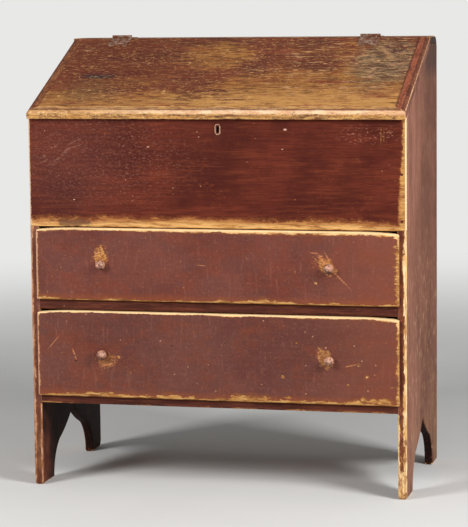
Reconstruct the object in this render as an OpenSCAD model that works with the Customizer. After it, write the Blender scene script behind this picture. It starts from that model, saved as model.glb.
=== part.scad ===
// Painted slant front desk: a lidded well over two drawers, on side boards cut as bootjack feet.
// Millimetres, +Z up, front towards -Y, origin on the floor under the middle of the whole desk.
// Each module is drawn with the front edges of the sides at Y = 0, and placed() centres the desk in depth.

/* [Case] */
// Overall width, outer face to outer face of the side boards
case_w = 914; // [700:1:1100]
// Depth of the side boards
side_d = 480; // [440:1:600]
// Thickness of the side boards
side_t = 21; // [18:0.5:28]
// Height of the underside of the bottom board above the floor
foot_h = 203; // [180:1:260]
// Thickness of the bottom board
bottom_t = 18; // [14:0.5:24]
// Height of the opening for the lower drawer
lower_opening_h = 211; // [150:1:260]
// Thickness of the rail between the drawers
rail_t = 23; // [16:0.5:30]
// Depth of the rail between the drawers
rail_d = 70; // [50:1:100]
// Height of the opening for the upper drawer
upper_opening_h = 177; // [140:1:240]
// Height of the front panel, up to the underside of the lid
front_panel_h = 262; // [180:1:340]
// Thickness of the front panel
front_panel_t = 21; // [18:0.5:26]
// Thickness of the floor of the well
well_bottom_t = 18; // [12:0.5:24]
// Depth of the housings in the side boards
housing_depth = 7; // [4:0.5:9]
// Distance that the housings stop short of the front
housing_stop = 20; // [10:1:35]
// Width of each runner of the upper drawer
runner_w = 22; // [15:0.5:35]

/* [Back] */
// Thickness of the back boards
back_t = 14; // [10:0.5:18]
// Width of the rabbet that holds the back boards
back_rabbet_w = 10; // [6:0.5:13]
// Gap between one back board and the next
back_gap = 0.6; // [0.2:0.1:0.9]

/* [Bootjack feet] */
// Width of the front foot at the floor
front_foot_w = 88; // [60:1:110]
// Width of the arch at the floor
arch_w = 320; // [260:1:340]
// Height of the point of the arch
arch_h = 154; // [120:1:170]
// Width of the arch at its shoulders
arch_shoulder_w = 224; // [180:1:250]
// Height of the shoulders of the arch
arch_shoulder_h = 88; // [60:1:110]
// Bow of the arch between the floor and the shoulder
arch_bow = 14; // [6:1:20]
// Hollow of the arch between the shoulder and the point
arch_hollow = 6; // [3:1:12]

/* [Lid] */
// Distance of the hinge line behind the front of the case
ridge_y = 369; // [320:1:400]
// Height of the top of the desk above the front edge of the lid's underside
lid_rise = 180; // [120:1:240]
// Thickness of the lid
lid_t = 22; // [18:0.5:26]
// Overhang of the lid in front of the case, along the slope
lid_overhang = 12; // [6:0.5:18]
// Width of the moulding round the lid
moulding_w = 25; // [21.5:0.5:34]
// Radius of the thumbnail of the moulding
thumbnail_r = 9; // [5:0.5:11]
// Height of the step above the thumbnail
thumbnail_step = 1.5; // [1:0.25:3]
// Depth of the groove line between moulding and board
groove_line = 0.8; // [0.4:0.1:1.5]
// Gap between the lid and the top board
lid_gap = 0.6; // [0.4:0.1:1.5]
// Thickness of the fixed top board
top_board_t = 22; // [18:0.5:26]
// Radius of the back corners of the top board
top_corner_r = 6; // [2:0.5:12]

/* [Hinges] */
// Width of the hinges across the lid
hinge_w = 50; // [40:1:70]
// Length of each hinge leaf
leaf_len = 52; // [42:1:70]
// Thickness of the hinge leaves
leaf_t = 2; // [1.5:0.1:2.2]
// Radius of the hinge knuckles
knuckle_r = 3.5; // [3.4:0.1:5]
// Radius of the hinge pins
pin_r = 1.5; // [1:0.1:1.6]
// Distance of the left hinge's middle from the left end of the lid
hinge_left_inset = 129; // [60:1:250]
// Distance of the right hinge's middle from the right end of the lid
hinge_right_inset = 148; // [60:1:250]
// Length of the hinge screws
hinge_screw_len = 16; // [10:1:18]

/* [Drawers] */
// Thickness of the drawer fronts
drawer_front_t = 22; // [20:0.5:26]
// Distance that the drawer fronts stand proud of the case
drawer_proud = 10; // [8:0.5:12]
// Width of the lips at the ends of the drawer fronts
drawer_lip_w = 5; // [3:0.5:8]
// Gap above each drawer front
drawer_gap_top = 2.5; // [1.5:0.5:4]
// Gap between each drawer and the side boards
drawer_gap_side = 1.5; // [0.8:0.1:3]
// Radius of the rounded edges of the drawer fronts
drawer_edge_r = 4; // [2:0.5:6]
// Drop of the worn top edge at the ends of the drawer fronts
worn_drop = 5; // [2:0.5:8]
// Length of the worn stretch at each end of the top edge
worn_len = 95; // [50:1:150]
// Thickness of the drawer sides and backs
drawer_side_t = 12; // [10:0.5:16]
// Thickness of the drawer bottoms
drawer_bottom_t = 9; // [7:0.5:12]
// Gap between the back of the drawers and the back boards
drawer_gap_back = 8; // [4:1:20]
// Number of dovetails at each corner of the lower drawer
lower_tails = 3; // [2:1:5]
// Number of dovetails at each corner of the upper drawer
upper_tails = 3; // [2:1:5]
// Width of the pins between the dovetails
dovetail_pin_w = 8; // [5:0.5:14]

/* [Knobs] */
// Radius of the knobs
knob_r = 12; // [9:0.5:16]
// Distance that the knobs stand out from the drawer fronts
knob_reach = 21; // [17:0.5:30]
// Radius of the foot ring of the knobs
knob_foot_r = 7.5; // [6:0.5:10]
// Thickness of the foot ring of the knobs
knob_foot_t = 1.5; // [1:0.25:2.5]
// Radius of the neck of the knobs
knob_neck_r = 5.5; // [4:0.5:6]
// Radius of the tenon of the knobs
knob_tenon_r = 5; // [3.5:0.5:6]
// Distance of each knob from the outer face of the side board
knob_inset = 180; // [110:1:240]

/* [Lock] */
// Position of the keyhole to the right of the middle
key_x = 10; // [-40:1:40]
// Distance of the keyhole's middle below the top of the front panel
key_drop = 28; // [26:1:30]
// Width of the keyhole
keyhole_w = 5.4; // [4.8:0.1:7]
// Height of the keyhole
keyhole_h = 15; // [12:0.5:18]
// Width of the escutcheon
escutcheon_w = 13.4; // [11:0.2:18]
// Height of the escutcheon
escutcheon_h = 26; // [22:0.5:32]
// Width of the lock's box
lock_w = 60; // [50:1:80]
// Height of the lock's box
lock_h = 44; // [42:1:60]
// Depth of the lock's box
lock_d = 10; // [9:0.5:12]
// Travel of the bolt
bolt_travel = 11; // [8:0.5:12]
// Width of the bolt's head
bolt_w = 24; // [16:1:30]
// Thickness of the bolt
bolt_t = 5; // [4:0.1:5.5]

/* [Hidden] */
$fn = 48;

// Colours of the worn red paint, the bare wood and the metals
panel_paint = [0.37, 0.17, 0.14];
side_paint = [0.50, 0.33, 0.28];
lid_paint = [0.52, 0.33, 0.19];
drawer_paint = [0.45, 0.26, 0.22];
knob_paint = [0.62, 0.38, 0.30];
bare_pine = [0.66, 0.50, 0.33];
iron = [0.45, 0.42, 0.40];
old_brass = [0.72, 0.62, 0.42];

// Overlap of a cutter past the face that it cuts
cut = 1;
// Clearance of a running fit
running = 0.05;
// Clearance at a seat between parts that move
seat = 0.3;

// Heights of the case, one above the other
lower_opening_z = foot_h + bottom_t;
rail_z = lower_opening_z + lower_opening_h;
upper_opening_z = rail_z + rail_t;
panel_z = upper_opening_z + upper_opening_h;
lid_z = panel_z + front_panel_h;
top_z = lid_z + lid_rise;
top_board_z = top_z - top_board_t;

// Widths between the sides and into their housings and rabbets
inner_w = case_w - 2 * side_t;
housed_w = inner_w + 2 * housing_depth;
back_w = inner_w + 2 * back_rabbet_w;
inner_d = side_d - back_t;

// Slope of the lid: its underside starts at the top of the front panel, and its top meets the ridge
slope = acos(lid_t / norm([ridge_y, lid_rise])) - atan2(ridge_y, lid_rise);
lid_len = ridge_y * cos(slope) + lid_rise * sin(slope);
function slope_z(y) = lid_z + y * tan(slope);

knob_x = case_w / 2 - knob_inset;

// The desk's depth runs from the knobs to the back edge of the sides
knob_front = drawer_proud + knob_reach;
front_y = (knob_front - side_d) / 2;

// Centre of the hinge pins above the top board, to a hundredth, so that the knuckles just clear the lid
knuckle_clear = 0.4;
axis_rise = ceil(100 * (knuckle_r + knuckle_clear) / cos(slope)) / 100;
axis_drop = axis_rise * cos(slope);
axis_y = lid_len + axis_rise * sin(slope);
axis_n = lid_t + axis_drop;
knuckle_count = 5;
knuckle_gap = 0.3;

// Cut nails, with rectangular shanks and heads
nail_w = 3;
nail_t = 2.2;
nail_head_w = 5.5;
nail_head_t = 1.4;
nail_clear = 0.05;

// Countersunk screws
screw_r = 1.9;
screw_head_r = 4;
screw_head_t = 1.8;
screw_slot = 0.8;
screw_clear = 0.08;

module placed() {
    translate([0, front_y, 0]) children();
}

// Frame of the lid: X across, Y up the slope from the front of the case, Z out of its underside
module lid_frame() {
    translate([0, front_y, lid_z]) rotate([slope, 0, 0]) children();
}

// Box given by its lowest corner and its highest corner
module block(low, high) {
    translate(low) cube(high - low);
}

// Outline in Y and Z, extruded along X
module across(x_low, x_high) {
    translate([x_low, 0, 0]) rotate([90, 0, 90]) linear_extrude(x_high - x_low) children();
}

// Points on a circular arc from p to q, without p; the sag is positive to the left of the way from p to q
function arc_between(p, q, sag, n) =
    let (
        chord = norm(q - p),
        r = (chord * chord / 4 + sag * sag) / (2 * abs(sag)),
        left = [p[1] - q[1], q[0] - p[0]] / chord,
        centre = (p + q) / 2 - left * sign(sag) * (r - abs(sag)),
        start = atan2(p[1] - centre[1], p[0] - centre[0]),
        sweep = -2 * sign(sag) * asin(chord / 2 / r)
    )
    [for (i = [1 : n]) centre + r * [cos(start + sweep * i / n), sin(start + sweep * i / n)]];

// Cutter for a quarter-round edge along X: the edge lies on the X axis, the board towards +Y and +Z
module edge_round(length, r) {
    difference() {
        translate([-length / 2, -cut, -cut]) cube([length, r + cut, r + cut]);
        translate([-length / 2 - cut, r, r]) rotate([0, 90, 0]) cylinder(r = r, h = length + 2 * cut);
    }
}

// Nail with its head's face at the origin, driven towards -Z
module cut_nail(length, clear = 0) {
    w = nail_w + 2 * clear;
    t = nail_t + 2 * clear;
    head = nail_head_w + 2 * clear;
    translate([-head / 2, -head / 2, -nail_head_t - clear]) cube([head, head, nail_head_t + clear + cut * sign(clear)]);
    translate([-w / 2, -t / 2, -length - clear]) cube([w, t, length + clear - nail_head_t / 2]);
}

// Countersunk screw with its head's face at the origin, driven towards -Z
module wood_screw(length, clear = 0) {
    difference() {
        union() {
            translate([0, 0, -screw_head_t])
                cylinder(r1 = screw_r + clear, r2 = screw_head_r + clear, h = screw_head_t);
            translate([0, 0, -length - clear]) cylinder(r = screw_r + clear, h = length + clear - screw_head_t / 2);
            if (clear > 0) cylinder(r = screw_head_r + clear, h = cut);
        }
        if (clear == 0)
            translate([-screw_head_r, -screw_slot / 2, -screw_slot]) cube([2 * screw_head_r, screw_slot, 2 * screw_slot]);
    }
}

// Places of the nails and screws, shared by the fasteners and the boards that they go through

panel_nail_len = 45;
panel_nail_inset = 22;
module front_panel_nail_set(clear = 0) {
    for (side = [-1, 1], share = [0, 0.5, 1])
        translate([side * (case_w - side_t) / 2, 0,
                   panel_z + panel_nail_inset + share * (front_panel_h - 2 * panel_nail_inset)])
            rotate([90, 0, 0]) cut_nail(panel_nail_len, clear);
}

top_nail_len = 50;
top_nail_inset = 20;
top_nail_span = 0.7;
module top_board_nail_set(clear = 0) {
    for (side = [-1, 1], y = [ridge_y + top_nail_inset, side_d - top_nail_inset])
        translate([side * (case_w - side_t) / 2, y, top_z]) cut_nail(top_nail_len, clear);
    for (share = [-0.5, 0, 0.5])
        translate([share * inner_w * top_nail_span, side_d - back_t / 2, top_z]) cut_nail(top_nail_len, clear);
}

back_nail_len = 32;
back_nail_inset = 30;
back_count = 3;
back_top_z = top_board_z;
back_h = (back_top_z - foot_h - (back_count - 1) * back_gap) / back_count;
function back_z(i) = foot_h + i * (back_h + back_gap);
module back_nail_set(clear = 0) {
    for (side = [-1, 1], i = [0 : back_count - 1], share = [0, 1])
        translate([side * (inner_w + back_rabbet_w) / 2, side_d,
                   back_z(i) + back_nail_inset + share * (back_h - 2 * back_nail_inset)])
            rotate([-90, 0, 0]) cut_nail(back_nail_len, clear);
}

runner_nail_inset = 40;
runner_nail_len = runner_w + side_t / 2;
module runner_nail_set(clear = 0) {
    for (side = [-1, 1], y = [rail_d + runner_nail_inset, inner_d - runner_nail_inset])
        translate([side * (inner_w / 2 - runner_w), y, rail_z + rail_t / 2])
            rotate([0, -90 * side, 0]) cut_nail(runner_nail_len, clear);
}

moulding_nail_len = 48;
moulding_nail_n = 6;
module moulding_nail_set(clear = 0) {
    for (share = [-0.45, -0.15, 0.15, 0.45])
        translate([share * (case_w - 2 * moulding_w), -lid_overhang, moulding_nail_n])
            rotate([90, 0, 0]) cut_nail(moulding_nail_len, clear);
    for (side = [-1, 1], share = [0.2, 0.55, 0.9])
        translate([side * case_w / 2, share * lid_len, moulding_nail_n])
            rotate([0, 90 * side, 0]) cut_nail(moulding_nail_len, clear);
}

// Side boards

module arch_outline() {
    half = arch_w / 2;
    shoulder = arch_shoulder_w / 2;
    foot = [half, 0];
    top = [shoulder, arch_shoulder_h];
    point = [0, arch_h];
    right_half = concat(arc_between(foot, top, -arch_bow, 10), arc_between(top, point, arch_hollow, 10));
    count = len(right_half);
    left_half = [for (i = [count - 2 : -1 : 0]) [-right_half[i][0], right_half[i][1]]];
    translate([front_foot_w + half, 0])
        polygon(concat([[-half, -cut], [half, -cut], foot], right_half, left_half, [[-half, 0]]));
}

module side_outline() {
    polygon([
        [0, 0], [side_d, 0], [side_d, top_board_z], [ridge_y, top_board_z], [ridge_y, slope_z(ridge_y)],
        [front_panel_t, slope_z(front_panel_t)], [front_panel_t, panel_z], [0, panel_z]
    ]);
}

// The board is drawn for the right; its outer face is at case_w / 2
module side_board() {
    inner = inner_w / 2;
    difference() {
        across(inner, case_w / 2) difference() {
            side_outline();
            arch_outline();
        }
        block([inner - cut, inner_d, foot_h], [inner + back_rabbet_w, side_d + cut, top_board_z + cut]);
        block([inner - cut, housing_stop, foot_h], [inner + housing_depth, inner_d + cut, foot_h + bottom_t]);
        block([inner - cut, housing_stop, rail_z], [inner + housing_depth, rail_d, rail_z + rail_t]);
        block([inner - cut, front_panel_t + housing_stop, panel_z],
              [inner + housing_depth, inner_d + cut, panel_z + well_bottom_t]);
    }
}

module side_left() {
    color(side_paint) placed() difference() {
        mirror([1, 0, 0]) side_board();
        front_panel_nail_set(nail_clear);
        top_board_nail_set(nail_clear);
        back_nail_set(nail_clear);
        runner_nail_set(nail_clear);
    }
}

module side_right() {
    color(side_paint) placed() difference() {
        side_board();
        front_panel_nail_set(nail_clear);
        top_board_nail_set(nail_clear);
        back_nail_set(nail_clear);
        runner_nail_set(nail_clear);
    }
}

// Board that spans the sides, with stopped tongues in their housings
module housed_board(y_low, y_high, z_low, thickness, stop) {
    block([-inner_w / 2, y_low, z_low], [inner_w / 2, y_high, z_low + thickness]);
    block([-housed_w / 2, y_low + stop, z_low], [housed_w / 2, y_high, z_low + thickness]);
}

module well_bottom() {
    color(bare_pine) placed()
        housed_board(front_panel_t, inner_d, panel_z, well_bottom_t, housing_stop);
}

module drawer_rail() {
    color(panel_paint) placed() housed_board(0, rail_d, rail_z, rail_t, housing_stop);
}

module bottom_board() {
    color(panel_paint) placed() housed_board(0, inner_d, foot_h, bottom_t, housing_stop);
}

module runner(side) {
    color(bare_pine) placed() difference() {
        translate([side * (inner_w - runner_w) / 2, (rail_d + inner_d) / 2, rail_z + rail_t / 2])
            cube([runner_w, inner_d - rail_d, rail_t], center = true);
        runner_nail_set(nail_clear);
    }
}

module runner_left() {
    runner(-1);
}

module runner_right() {
    runner(1);
}

module back_board(i) {
    color(bare_pine) placed() difference() {
        block([-back_w / 2, inner_d, back_z(i)], [back_w / 2, side_d, back_z(i) + back_h]);
        back_nail_set(nail_clear);
        top_board_nail_set(nail_clear);
    }
}

module back_board_lower() {
    back_board(0);
}

module back_board_middle() {
    back_board(1);
}

module back_board_upper() {
    back_board(2);
}

// Top board seen from above, with its back corners rounded
module top_board_outline() {
    difference() {
        translate([-case_w / 2, ridge_y]) square([case_w, side_d - ridge_y]);
        for (side = [-1, 1]) translate([side * (case_w / 2 - top_corner_r), side_d - top_corner_r]) difference() {
            translate([side > 0 ? 0 : -top_corner_r - cut, 0]) square(top_corner_r + cut);
            circle(r = top_corner_r);
        }
    }
}

module top_board() {
    color(side_paint) placed() difference() {
        translate([0, 0, top_board_z]) linear_extrude(top_board_t) top_board_outline();
        top_board_nail_set(nail_clear);
        top_screw_set(screw_clear);
    }
}

// Front panel, lock and keyhole

lock_cap_t = 1.5;
lock_plate_t = 2;
lock_plate_rim = 9;
lock_front_y = front_panel_t - lock_d;
lock_top_drop = 2;
lock_top_z = slope_z(lock_front_y) - lock_top_drop;
lock_low_z = lock_top_z - lock_h;
key_z = lid_z - key_drop;
escutcheon_t = 2;
escutcheon_proud = 0.4;
lock_screw_len = 10;
lock_screw_inset = 4.5;

// Upright slot with round ends, extruded along +Y from y_low
module upright_slot(w, h, y_low, y_high) {
    translate([key_x, y_high, key_z]) rotate([90, 0, 0]) linear_extrude(y_high - y_low) {
        square([w, h - w], center = true);
        for (end = [-1, 1]) translate([0, end * (h - w) / 2]) circle(d = w);
    }
}

module lock_screw_set(clear = 0) {
    for (side = [-1, 1], z = [lock_low_z - lock_screw_inset, lock_top_z - lock_screw_inset - lock_plate_rim])
        translate([key_x + side * (lock_w / 2 + lock_screw_inset), front_panel_t + lock_plate_t, z])
            rotate([-90, 0, 0]) wood_screw(lock_screw_len, clear);
}

module front_panel() {
    color(panel_paint) placed() difference() {
        across(-case_w / 2, case_w / 2) polygon([
            [0, panel_z], [front_panel_t, panel_z], [front_panel_t, slope_z(front_panel_t)], [0, lid_z]
        ]);
        block([key_x - lock_w / 2, lock_front_y, lock_low_z],
              [key_x + lock_w / 2, front_panel_t + cut, lid_z + front_panel_t]);
        upright_slot(keyhole_w, keyhole_h, -cut, front_panel_t);
        upright_slot(escutcheon_w, escutcheon_h, -cut, escutcheon_t - escutcheon_proud);
        lock_screw_set(screw_clear);
        front_panel_nail_set(nail_clear);
    }
}

module escutcheon() {
    color(old_brass) placed() difference() {
        upright_slot(escutcheon_w, escutcheon_h, -escutcheon_proud, escutcheon_t - escutcheon_proud);
        upright_slot(keyhole_w, keyhole_h, -escutcheon_proud - cut, escutcheon_t + cut);
    }
}

// The bolt's head passes the top of the box, and its wider body stays inside
bolt_clear = 0.2;
bolt_behind_cap = 1;
bolt_y = lock_front_y + lock_cap_t + bolt_behind_cap;
bolt_proud = 0.5;
bolt_head_top = lock_top_z + bolt_proud;
bolt_body_top = lock_top_z - lock_cap_t - bolt_travel - bolt_clear;
bolt_body_h = 7;
bolt_shoulder = 8;
bolt_body_w = bolt_w + 2 * bolt_shoulder;

module lock_cap() {
    color(iron) placed() difference() {
        block([key_x - lock_w / 2, lock_front_y, lock_low_z], [key_x + lock_w / 2, front_panel_t, lock_top_z]);
        block([key_x - lock_w / 2 + lock_cap_t, lock_front_y + lock_cap_t, lock_low_z + lock_cap_t],
              [key_x + lock_w / 2 - lock_cap_t, front_panel_t + cut, lock_top_z - lock_cap_t]);
        block([key_x - bolt_w / 2 - bolt_clear, bolt_y - bolt_clear, lock_top_z - lock_cap_t - cut],
              [key_x + bolt_w / 2 + bolt_clear, bolt_y + bolt_t + bolt_clear, lock_top_z + cut]);
        upright_slot(keyhole_w, keyhole_h, lock_front_y - cut, lock_front_y + lock_cap_t + cut);
    }
}

module lock_plate() {
    color(iron) placed() difference() {
        block([key_x - lock_w / 2 - lock_plate_rim, front_panel_t, lock_low_z - lock_plate_rim],
              [key_x + lock_w / 2 + lock_plate_rim, front_panel_t + lock_plate_t, lock_top_z]);
        lock_screw_set(screw_clear);
    }
}

module lock_screws() {
    color(iron) placed() lock_screw_set();
}

module lock_bolt() {
    color(old_brass) placed() {
        block([key_x - bolt_w / 2, bolt_y, bolt_body_top - cut], [key_x + bolt_w / 2, bolt_y + bolt_t, bolt_head_top]);
        block([key_x - bolt_body_w / 2, bolt_y, bolt_body_top - bolt_body_h],
              [key_x + bolt_body_w / 2, bolt_y + bolt_t, bolt_body_top]);
    }
}

// Space that the bolt takes in the lid, drawn upright in the frame of the case
strike_clear = 1;
bolt_room = 1.5;
module bolt_mortise() {
    placed() block([key_x - bolt_w / 2 - strike_clear, bolt_y - strike_clear, lid_z - lid_t],
                   [key_x + bolt_w / 2 + strike_clear, bolt_y + bolt_t + strike_clear,
                    bolt_head_top + bolt_travel + bolt_room]);
}

// Plate in the underside of the lid, in the frame of the lid
strike_w = 52;
strike_len = 17;
strike_t = 1.6;
strike_screw_len = 12;
strike_y = (bolt_y + bolt_t / 2) / cos(slope);
module strike_plate_body() {
    lid_frame() translate([key_x - strike_w / 2, strike_y - strike_len / 2, 0]) cube([strike_w, strike_len, strike_t]);
}

module strike_screw_set(clear = 0) {
    lid_frame() for (side = [-1, 1])
        translate([key_x + side * (strike_w / 2 + bolt_w / 2 + strike_clear) / 2, strike_y, 0])
            rotate([180, 0, 0]) wood_screw(strike_screw_len, clear);
}

module lock_strike() {
    color(iron) difference() {
        strike_plate_body();
        bolt_mortise();
        strike_screw_set(screw_clear);
    }
}

module strike_screws() {
    color(iron) strike_screw_set();
}

// Lid, with a thumbnail moulding mitred at the front corners

// Outline of the moulding: first the distance in from its outer edge, then the height above its underside
function moulding_points() =
    concat(
        [[moulding_w, 0], [0, 0], [0, lid_t - thumbnail_step - thumbnail_r]],
        [for (i = [1 : 8]) [thumbnail_r * (1 - cos(90 * i / 8)),
                            lid_t - thumbnail_step - thumbnail_r * (1 - sin(90 * i / 8))]],
        [[thumbnail_r, lid_t], [moulding_w - groove_line, lid_t], [moulding_w, lid_t - groove_line]]
    );

// Everything behind the plumb cut that faces the top board
module behind_ridge() {
    placed() block([-case_w, ridge_y - lid_gap, lid_z - lid_t], [case_w, 2 * side_d, top_z + lid_t + side_d]);
}

lid_reach = lid_len + lid_t;

module lid_board() {
    color(lid_paint) difference() {
        lid_frame() difference() {
            block([-case_w / 2 + moulding_w, moulding_w - lid_overhang, 0],
                  [case_w / 2 - moulding_w, lid_reach, lid_t]);
            moulding_nail_set(nail_clear);
            lid_screw_set(screw_clear);
        }
        behind_ridge();
        bolt_mortise();
        strike_plate_body();
        strike_screw_set(screw_clear);
    }
}

module lid_front_moulding() {
    outer = case_w / 2;
    inner = outer - moulding_w;
    color(lid_paint) difference() {
        lid_frame() difference() {
            intersection() {
                translate([0, -lid_overhang, 0]) across(-outer, outer) polygon(moulding_points());
                linear_extrude(lid_t + cut) polygon([
                    [-outer, -lid_overhang], [outer, -lid_overhang],
                    [inner, moulding_w - lid_overhang], [-inner, moulding_w - lid_overhang]
                ]);
            }
            moulding_nail_set(nail_clear);
        }
        strike_plate_body();
    }
}

// The moulding is drawn for the right end
module end_moulding() {
    outer = case_w / 2;
    inner = outer - moulding_w;
    intersection() {
        translate([outer, lid_reach, 0]) mirror([1, 0, 0]) rotate([90, 0, 0])
            linear_extrude(lid_reach + lid_overhang) polygon(moulding_points());
        linear_extrude(lid_t + cut) polygon([
            [inner, moulding_w - lid_overhang], [outer, -lid_overhang], [outer, lid_reach], [inner, lid_reach]
        ]);
    }
}

module lid_left_moulding() {
    color(lid_paint) difference() {
        lid_frame() difference() {
            mirror([1, 0, 0]) end_moulding();
            moulding_nail_set(nail_clear);
        }
        behind_ridge();
    }
}

module lid_right_moulding() {
    color(lid_paint) difference() {
        lid_frame() difference() {
            end_moulding();
            moulding_nail_set(nail_clear);
        }
        behind_ridge();
    }
}

// Hinges: each leaf is drawn in a frame whose origin is the pin, with the leaf towards -Y under it

knuckle_w = (hinge_w - (knuckle_count - 1) * knuckle_gap) / knuckle_count;
leaf_notch_gap = 1.2;
leaf_notch = knuckle_r + leaf_notch_gap;

// Screws of a leaf: two near the pin and one far from it, as shares of the leaf's width and length
leaf_screw_side = 0.32;
leaf_screw_near = 0.42;
leaf_screw_far = 0.78;
function knuckle_x(i) = -hinge_w / 2 + i * (knuckle_w + knuckle_gap);
function hinge_x(side) = side * case_w / 2 - side * (side < 0 ? hinge_left_inset : hinge_right_inset);

// The first knuckle is 0 for the leaf with the outer knuckles, and 1 for the other leaf
module hinge_leaf(first, drop) {
    difference() {
        union() {
            translate([-hinge_w / 2, -leaf_len, -drop]) cube([hinge_w, leaf_len - leaf_notch, leaf_t]);
            for (i = [first : 2 : knuckle_count - 1]) translate([knuckle_x(i), 0, 0]) {
                rotate([0, 90, 0]) cylinder(r = knuckle_r, h = knuckle_w);
                translate([0, -leaf_notch - cut, -drop]) cube([knuckle_w, leaf_notch + cut, leaf_t]);
            }
        }
        translate([-hinge_w / 2 - cut, 0, 0]) rotate([0, 90, 0]) cylinder(r = pin_r + running, h = hinge_w + 2 * cut);
        leaf_screws(drop, screw_clear);
    }
}

module leaf_screws(drop, clear = 0) {
    for (place = [[-leaf_screw_side, leaf_screw_near], [leaf_screw_side, leaf_screw_near], [0, leaf_screw_far]])
        translate([place[0] * hinge_w, -place[1] * leaf_len, leaf_t - drop]) wood_screw(hinge_screw_len, clear);
}

// Frames of the hinges: on the lid the leaf runs down the slope, on the top board it runs back
module lid_hinge_frame(side) {
    lid_frame() translate([hinge_x(side), axis_y, axis_n]) children();
}

module top_hinge_frame(side) {
    translate([hinge_x(side), ridge_y, top_z]) translate([0, 0, axis_rise]) rotate([0, 0, 180]) children();
}

module top_screw_set(clear = 0) {
    for (side = [-1, 1]) top_hinge_frame(side) leaf_screws(axis_rise, clear);
}

module lid_screw_set(clear = 0) {
    for (side = [-1, 1]) translate([hinge_x(side), axis_y, axis_n]) leaf_screws(axis_drop, clear);
}

module hinge_left_top_leaf() {
    color(iron) placed() top_hinge_frame(-1) hinge_leaf(0, axis_rise);
}

module hinge_right_top_leaf() {
    color(iron) placed() top_hinge_frame(1) hinge_leaf(0, axis_rise);
}

module hinge_left_lid_leaf() {
    color(iron) lid_hinge_frame(-1) hinge_leaf(1, axis_drop);
}

module hinge_right_lid_leaf() {
    color(iron) lid_hinge_frame(1) hinge_leaf(1, axis_drop);
}

module hinge_pin(side) {
    color(iron) placed() top_hinge_frame(side) translate([-hinge_w / 2, 0, 0]) rotate([0, 90, 0])
        cylinder(r = pin_r, h = hinge_w);
}

module hinge_pin_left() {
    hinge_pin(-1);
}

module hinge_pin_right() {
    hinge_pin(1);
}

module top_hinge_screws() {
    color(iron) placed() top_screw_set();
}

module lid_hinge_screws() {
    color(iron) lid_frame() lid_screw_set();
}

// Nails

module front_panel_nails() {
    color(iron) placed() front_panel_nail_set();
}

module top_board_nails() {
    color(iron) placed() top_board_nail_set();
}

module back_board_nails() {
    color(iron) placed() back_nail_set();
}

module runner_nails() {
    color(iron) placed() runner_nail_set();
}

module lid_moulding_nails() {
    color(iron) lid_frame() moulding_nail_set();
}

// Drawers: dovetailed boxes with lipped fronts

drawer_gap_bottom = 1;
drawer_w = inner_w - 2 * drawer_gap_side;
drawer_front_back_y = drawer_front_t - drawer_proud;
drawer_back_y = inner_d - drawer_gap_back;
drawer_side_drop = 8;
tail_slope = 1 / 6;
tongue_t = 5;
groove_d = 6;
groove_rise = 12;
bottom_bevel_w = 30;
drawer_nail_len = 30;

function front_h(opening_h) = opening_h - drawer_gap_bottom - drawer_gap_top;
function box_h(opening_h) = opening_h - seat - drawer_gap_top - drawer_side_drop;
function groove_top(opening_h) = groove_rise + tongue_t;

// Tails along a corner of height h, their wide ends towards +Y
module tail_row(h, tails, depth) {
    pitch = h / tails;
    narrow = (pitch - dovetail_pin_w) / 2 - depth * tail_slope;
    wide = narrow + depth * tail_slope;
    for (i = [0 : tails - 1]) translate([0, (i + 0.5) * pitch])
        polygon([[0, -narrow], [depth, -wide], [depth, wide], [0, narrow]]);
}

// Tails of the front corner, which reach to the back of the lips, and of the back corner
module front_tails(opening_h, tails) {
    translate([drawer_front_back_y, 0]) mirror([1, 0])
        tail_row(box_h(opening_h), tails, drawer_front_back_y + seat);
}

module back_tails(opening_h, tails) {
    translate([drawer_back_y - drawer_side_t, groove_top(opening_h)])
        tail_row(box_h(opening_h) - groove_top(opening_h), tails, drawer_side_t);
}

module drawer_side_outline(opening_h, tails) {
    h = box_h(opening_h);
    shoulder = drawer_back_y - drawer_side_t;
    translate([drawer_front_back_y, 0]) square([shoulder - drawer_front_back_y, h]);
    translate([shoulder - cut, 0]) square([drawer_side_t + cut, groove_top(opening_h)]);
    front_tails(opening_h, tails);
    back_tails(opening_h, tails);
}

// The drawer's modules are drawn with the bottom edges of its sides at Z = 0; the grooves reach into the tails
module drawer_side(side, opening_h, tails) {
    x = side > 0 ? drawer_w / 2 - drawer_side_t : -drawer_w / 2;
    inner_x = side > 0 ? x - cut : x + drawer_side_t - groove_d;
    color(bare_pine) difference() {
        across(x, x + drawer_side_t) drawer_side_outline(opening_h, tails);
        block([inner_x, drawer_front_back_y - groove_d, groove_rise],
              [inner_x + groove_d + cut, drawer_back_y + cut, groove_rise + tongue_t]);
    }
}

module drawer_back(opening_h, tails) {
    color(bare_pine) difference() {
        block([-drawer_w / 2, drawer_back_y - drawer_side_t, groove_top(opening_h)],
              [drawer_w / 2, drawer_back_y, box_h(opening_h)]);
        for (x = [-drawer_w / 2 - cut, drawer_w / 2 - drawer_side_t])
            across(x, x + drawer_side_t + cut) back_tails(opening_h, tails);
        drawer_nail_set(opening_h, nail_clear);
    }
}

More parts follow.
